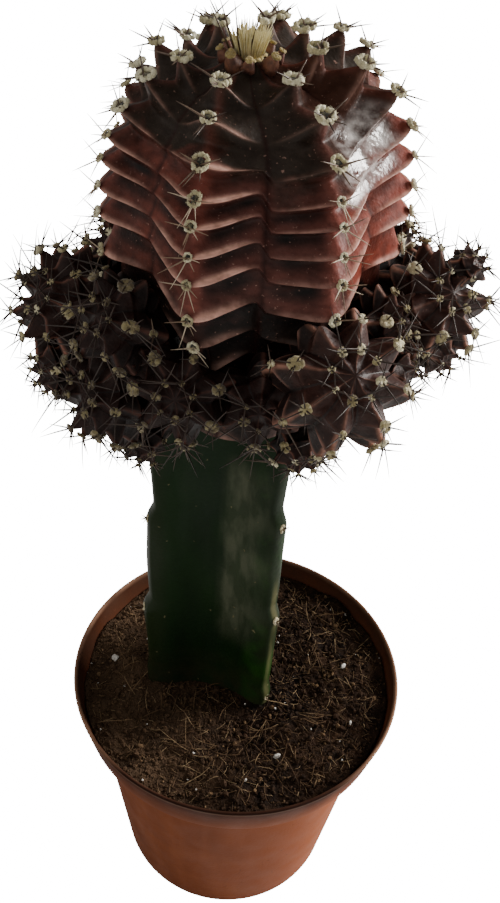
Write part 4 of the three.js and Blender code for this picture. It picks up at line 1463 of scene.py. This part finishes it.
wool, heap = Wool(), Heap()
for k in range(YOUNG_TUBERCLES):
    angle = math.tau * (k + chance.uniform(-0.3, 0.3)) / YOUNG_TUBERCLES
    spoke = Vector((math.cos(angle), math.sin(angle), 0))
    size = chance.uniform(0.75, 1.15)
    out = (crown_up + spoke * 0.5).normalized()
    foot = crown + spoke * YOUNG_CIRCLE * chance.uniform(0.85, 1.15) + crown_up * 0.2
    turn = np.array(Vector((0, 0, 1)).rotation_difference(out).to_matrix())
    rings = turned(np.array(YOUNG_PROFILE) * size, YOUNG_SIDES)
    wobble = 1 + 0.1 * np.sin(3 * np.linspace(0, math.tau, YOUNG_SIDES, endpoint=False) + 5 * size)
    rings = (rings * np.stack([wobble, wobble, np.ones(YOUNG_SIDES)], axis=-1)) @ turn.T + np.array(foot)
    heap.add(*closed_stack(rings, rings[0].mean(axis=0), rings[-1].mean(axis=0)), 0)
    tip = foot + out * 1.2 * size
    wool.add_pad(chance, tip, out, spoke, YOUNG_PAD_SIZE * size, hollow=0, strands=8)
knobs = heap.piece("crown_tubercles")
knobs.data.materials.append(young_skin())
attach(knobs, "root")
young_wool = wool.piece("crown_tubercle_wool")
young_wool.data.materials.append(crown_wool.data.materials[0])
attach(young_wool, "root")

# Stage: a pale floor under soft light. The strong light stands to the right and a little
# behind, as in a window, and two weak ones fill the front and the left. The camera looks
# down at the plant from close by and is rolled a few degrees.
FLOOR_SIZE = 6000
FLOOR_GLOW = 18
LIGHT_AIM = Vector((0, 0, 150))
LIGHTS = [
    # name, place, size, power, colour
    ("window_light", (774, 315, 483), 380, 16, (1, 0.97, 0.93)),
    ("front_fill", (-330, -600, 660), 800, 1.2, (1, 0.97, 0.92)),
    ("side_fill", (-700, -120, 360), 500, 0.7, (1, 0.97, 0.92)),
]
ROOM_COLOUR = (1, 0.97, 0.92, 1)
ROOM_STRENGTH = 0.26
EYE = Vector((-0.8, -166.2, 279.6))
LOOK = Vector((-0.85, 0, 141.7))
ROLL = 4.3
LENS = 39.87
SENSOR_WIDTH = 36


def pale_floor():
    """Matt white paper, which the camera sees as bright as the photograph's own ground."""
    look = Finish("pale_floor", tone(243, 243, 242))
    look.coat(look.patches(6, 0.3, 0.7), tone(247, 247, 246))
    seen = put(look.tree, "ShaderNodeLightPath").outputs["Is Camera Ray"]
    look.tree.links.new(look.colour, look.shader.inputs["Emission Color"])
    look.tree.links.new(look.times(seen, FLOOR_GLOW), look.shader.inputs["Emission Strength"])
    return look.done(look.uneven(20, 0.85, 0.95), look.grain(900, 0.1), 0.02)


bpy.ops.mesh.primitive_plane_add(size=FLOOR_SIZE * MM)
floor = bpy.context.object
floor.name = "floor"
floor.data.materials.append(pale_floor())

for name, spot, size, power, shade in LIGHTS:
    lamp = bpy.data.lights.new(name, "AREA")
    lamp.size = size * MM
    lamp.energy = power
    lamp.color = shade
    light = bpy.data.objects.new(name, lamp)
    light.location = Vector(spot) * MM
    light.rotation_euler = (LIGHT_AIM - Vector(spot)).to_track_quat("-Z", "Y").to_euler()
    bpy.context.scene.collection.objects.link(light)
world = bpy.data.worlds.new("room")
world.use_nodes = True
world.node_tree.nodes["Background"].inputs["Color"].default_value = ROOM_COLOUR
world.node_tree.nodes["Background"].inputs["Strength"].default_value = ROOM_STRENGTH
bpy.context.scene.world = world

lens = bpy.data.cameras.new("camera")
lens.lens = LENS
lens.sensor_width = SENSOR_WIDTH
lens.clip_start = 10 * MM
camera = bpy.data.objects.new("camera", lens)
camera.location = EYE * MM
aim = (LOOK - EYE).to_track_quat("-Z", "Y")
camera.rotation_euler = (aim.to_matrix() @ Euler((0, 0, math.radians(ROLL))).to_matrix()).to_euler()
bpy.context.scene.collection.objects.link(camera)
bpy.context.scene.camera = camera
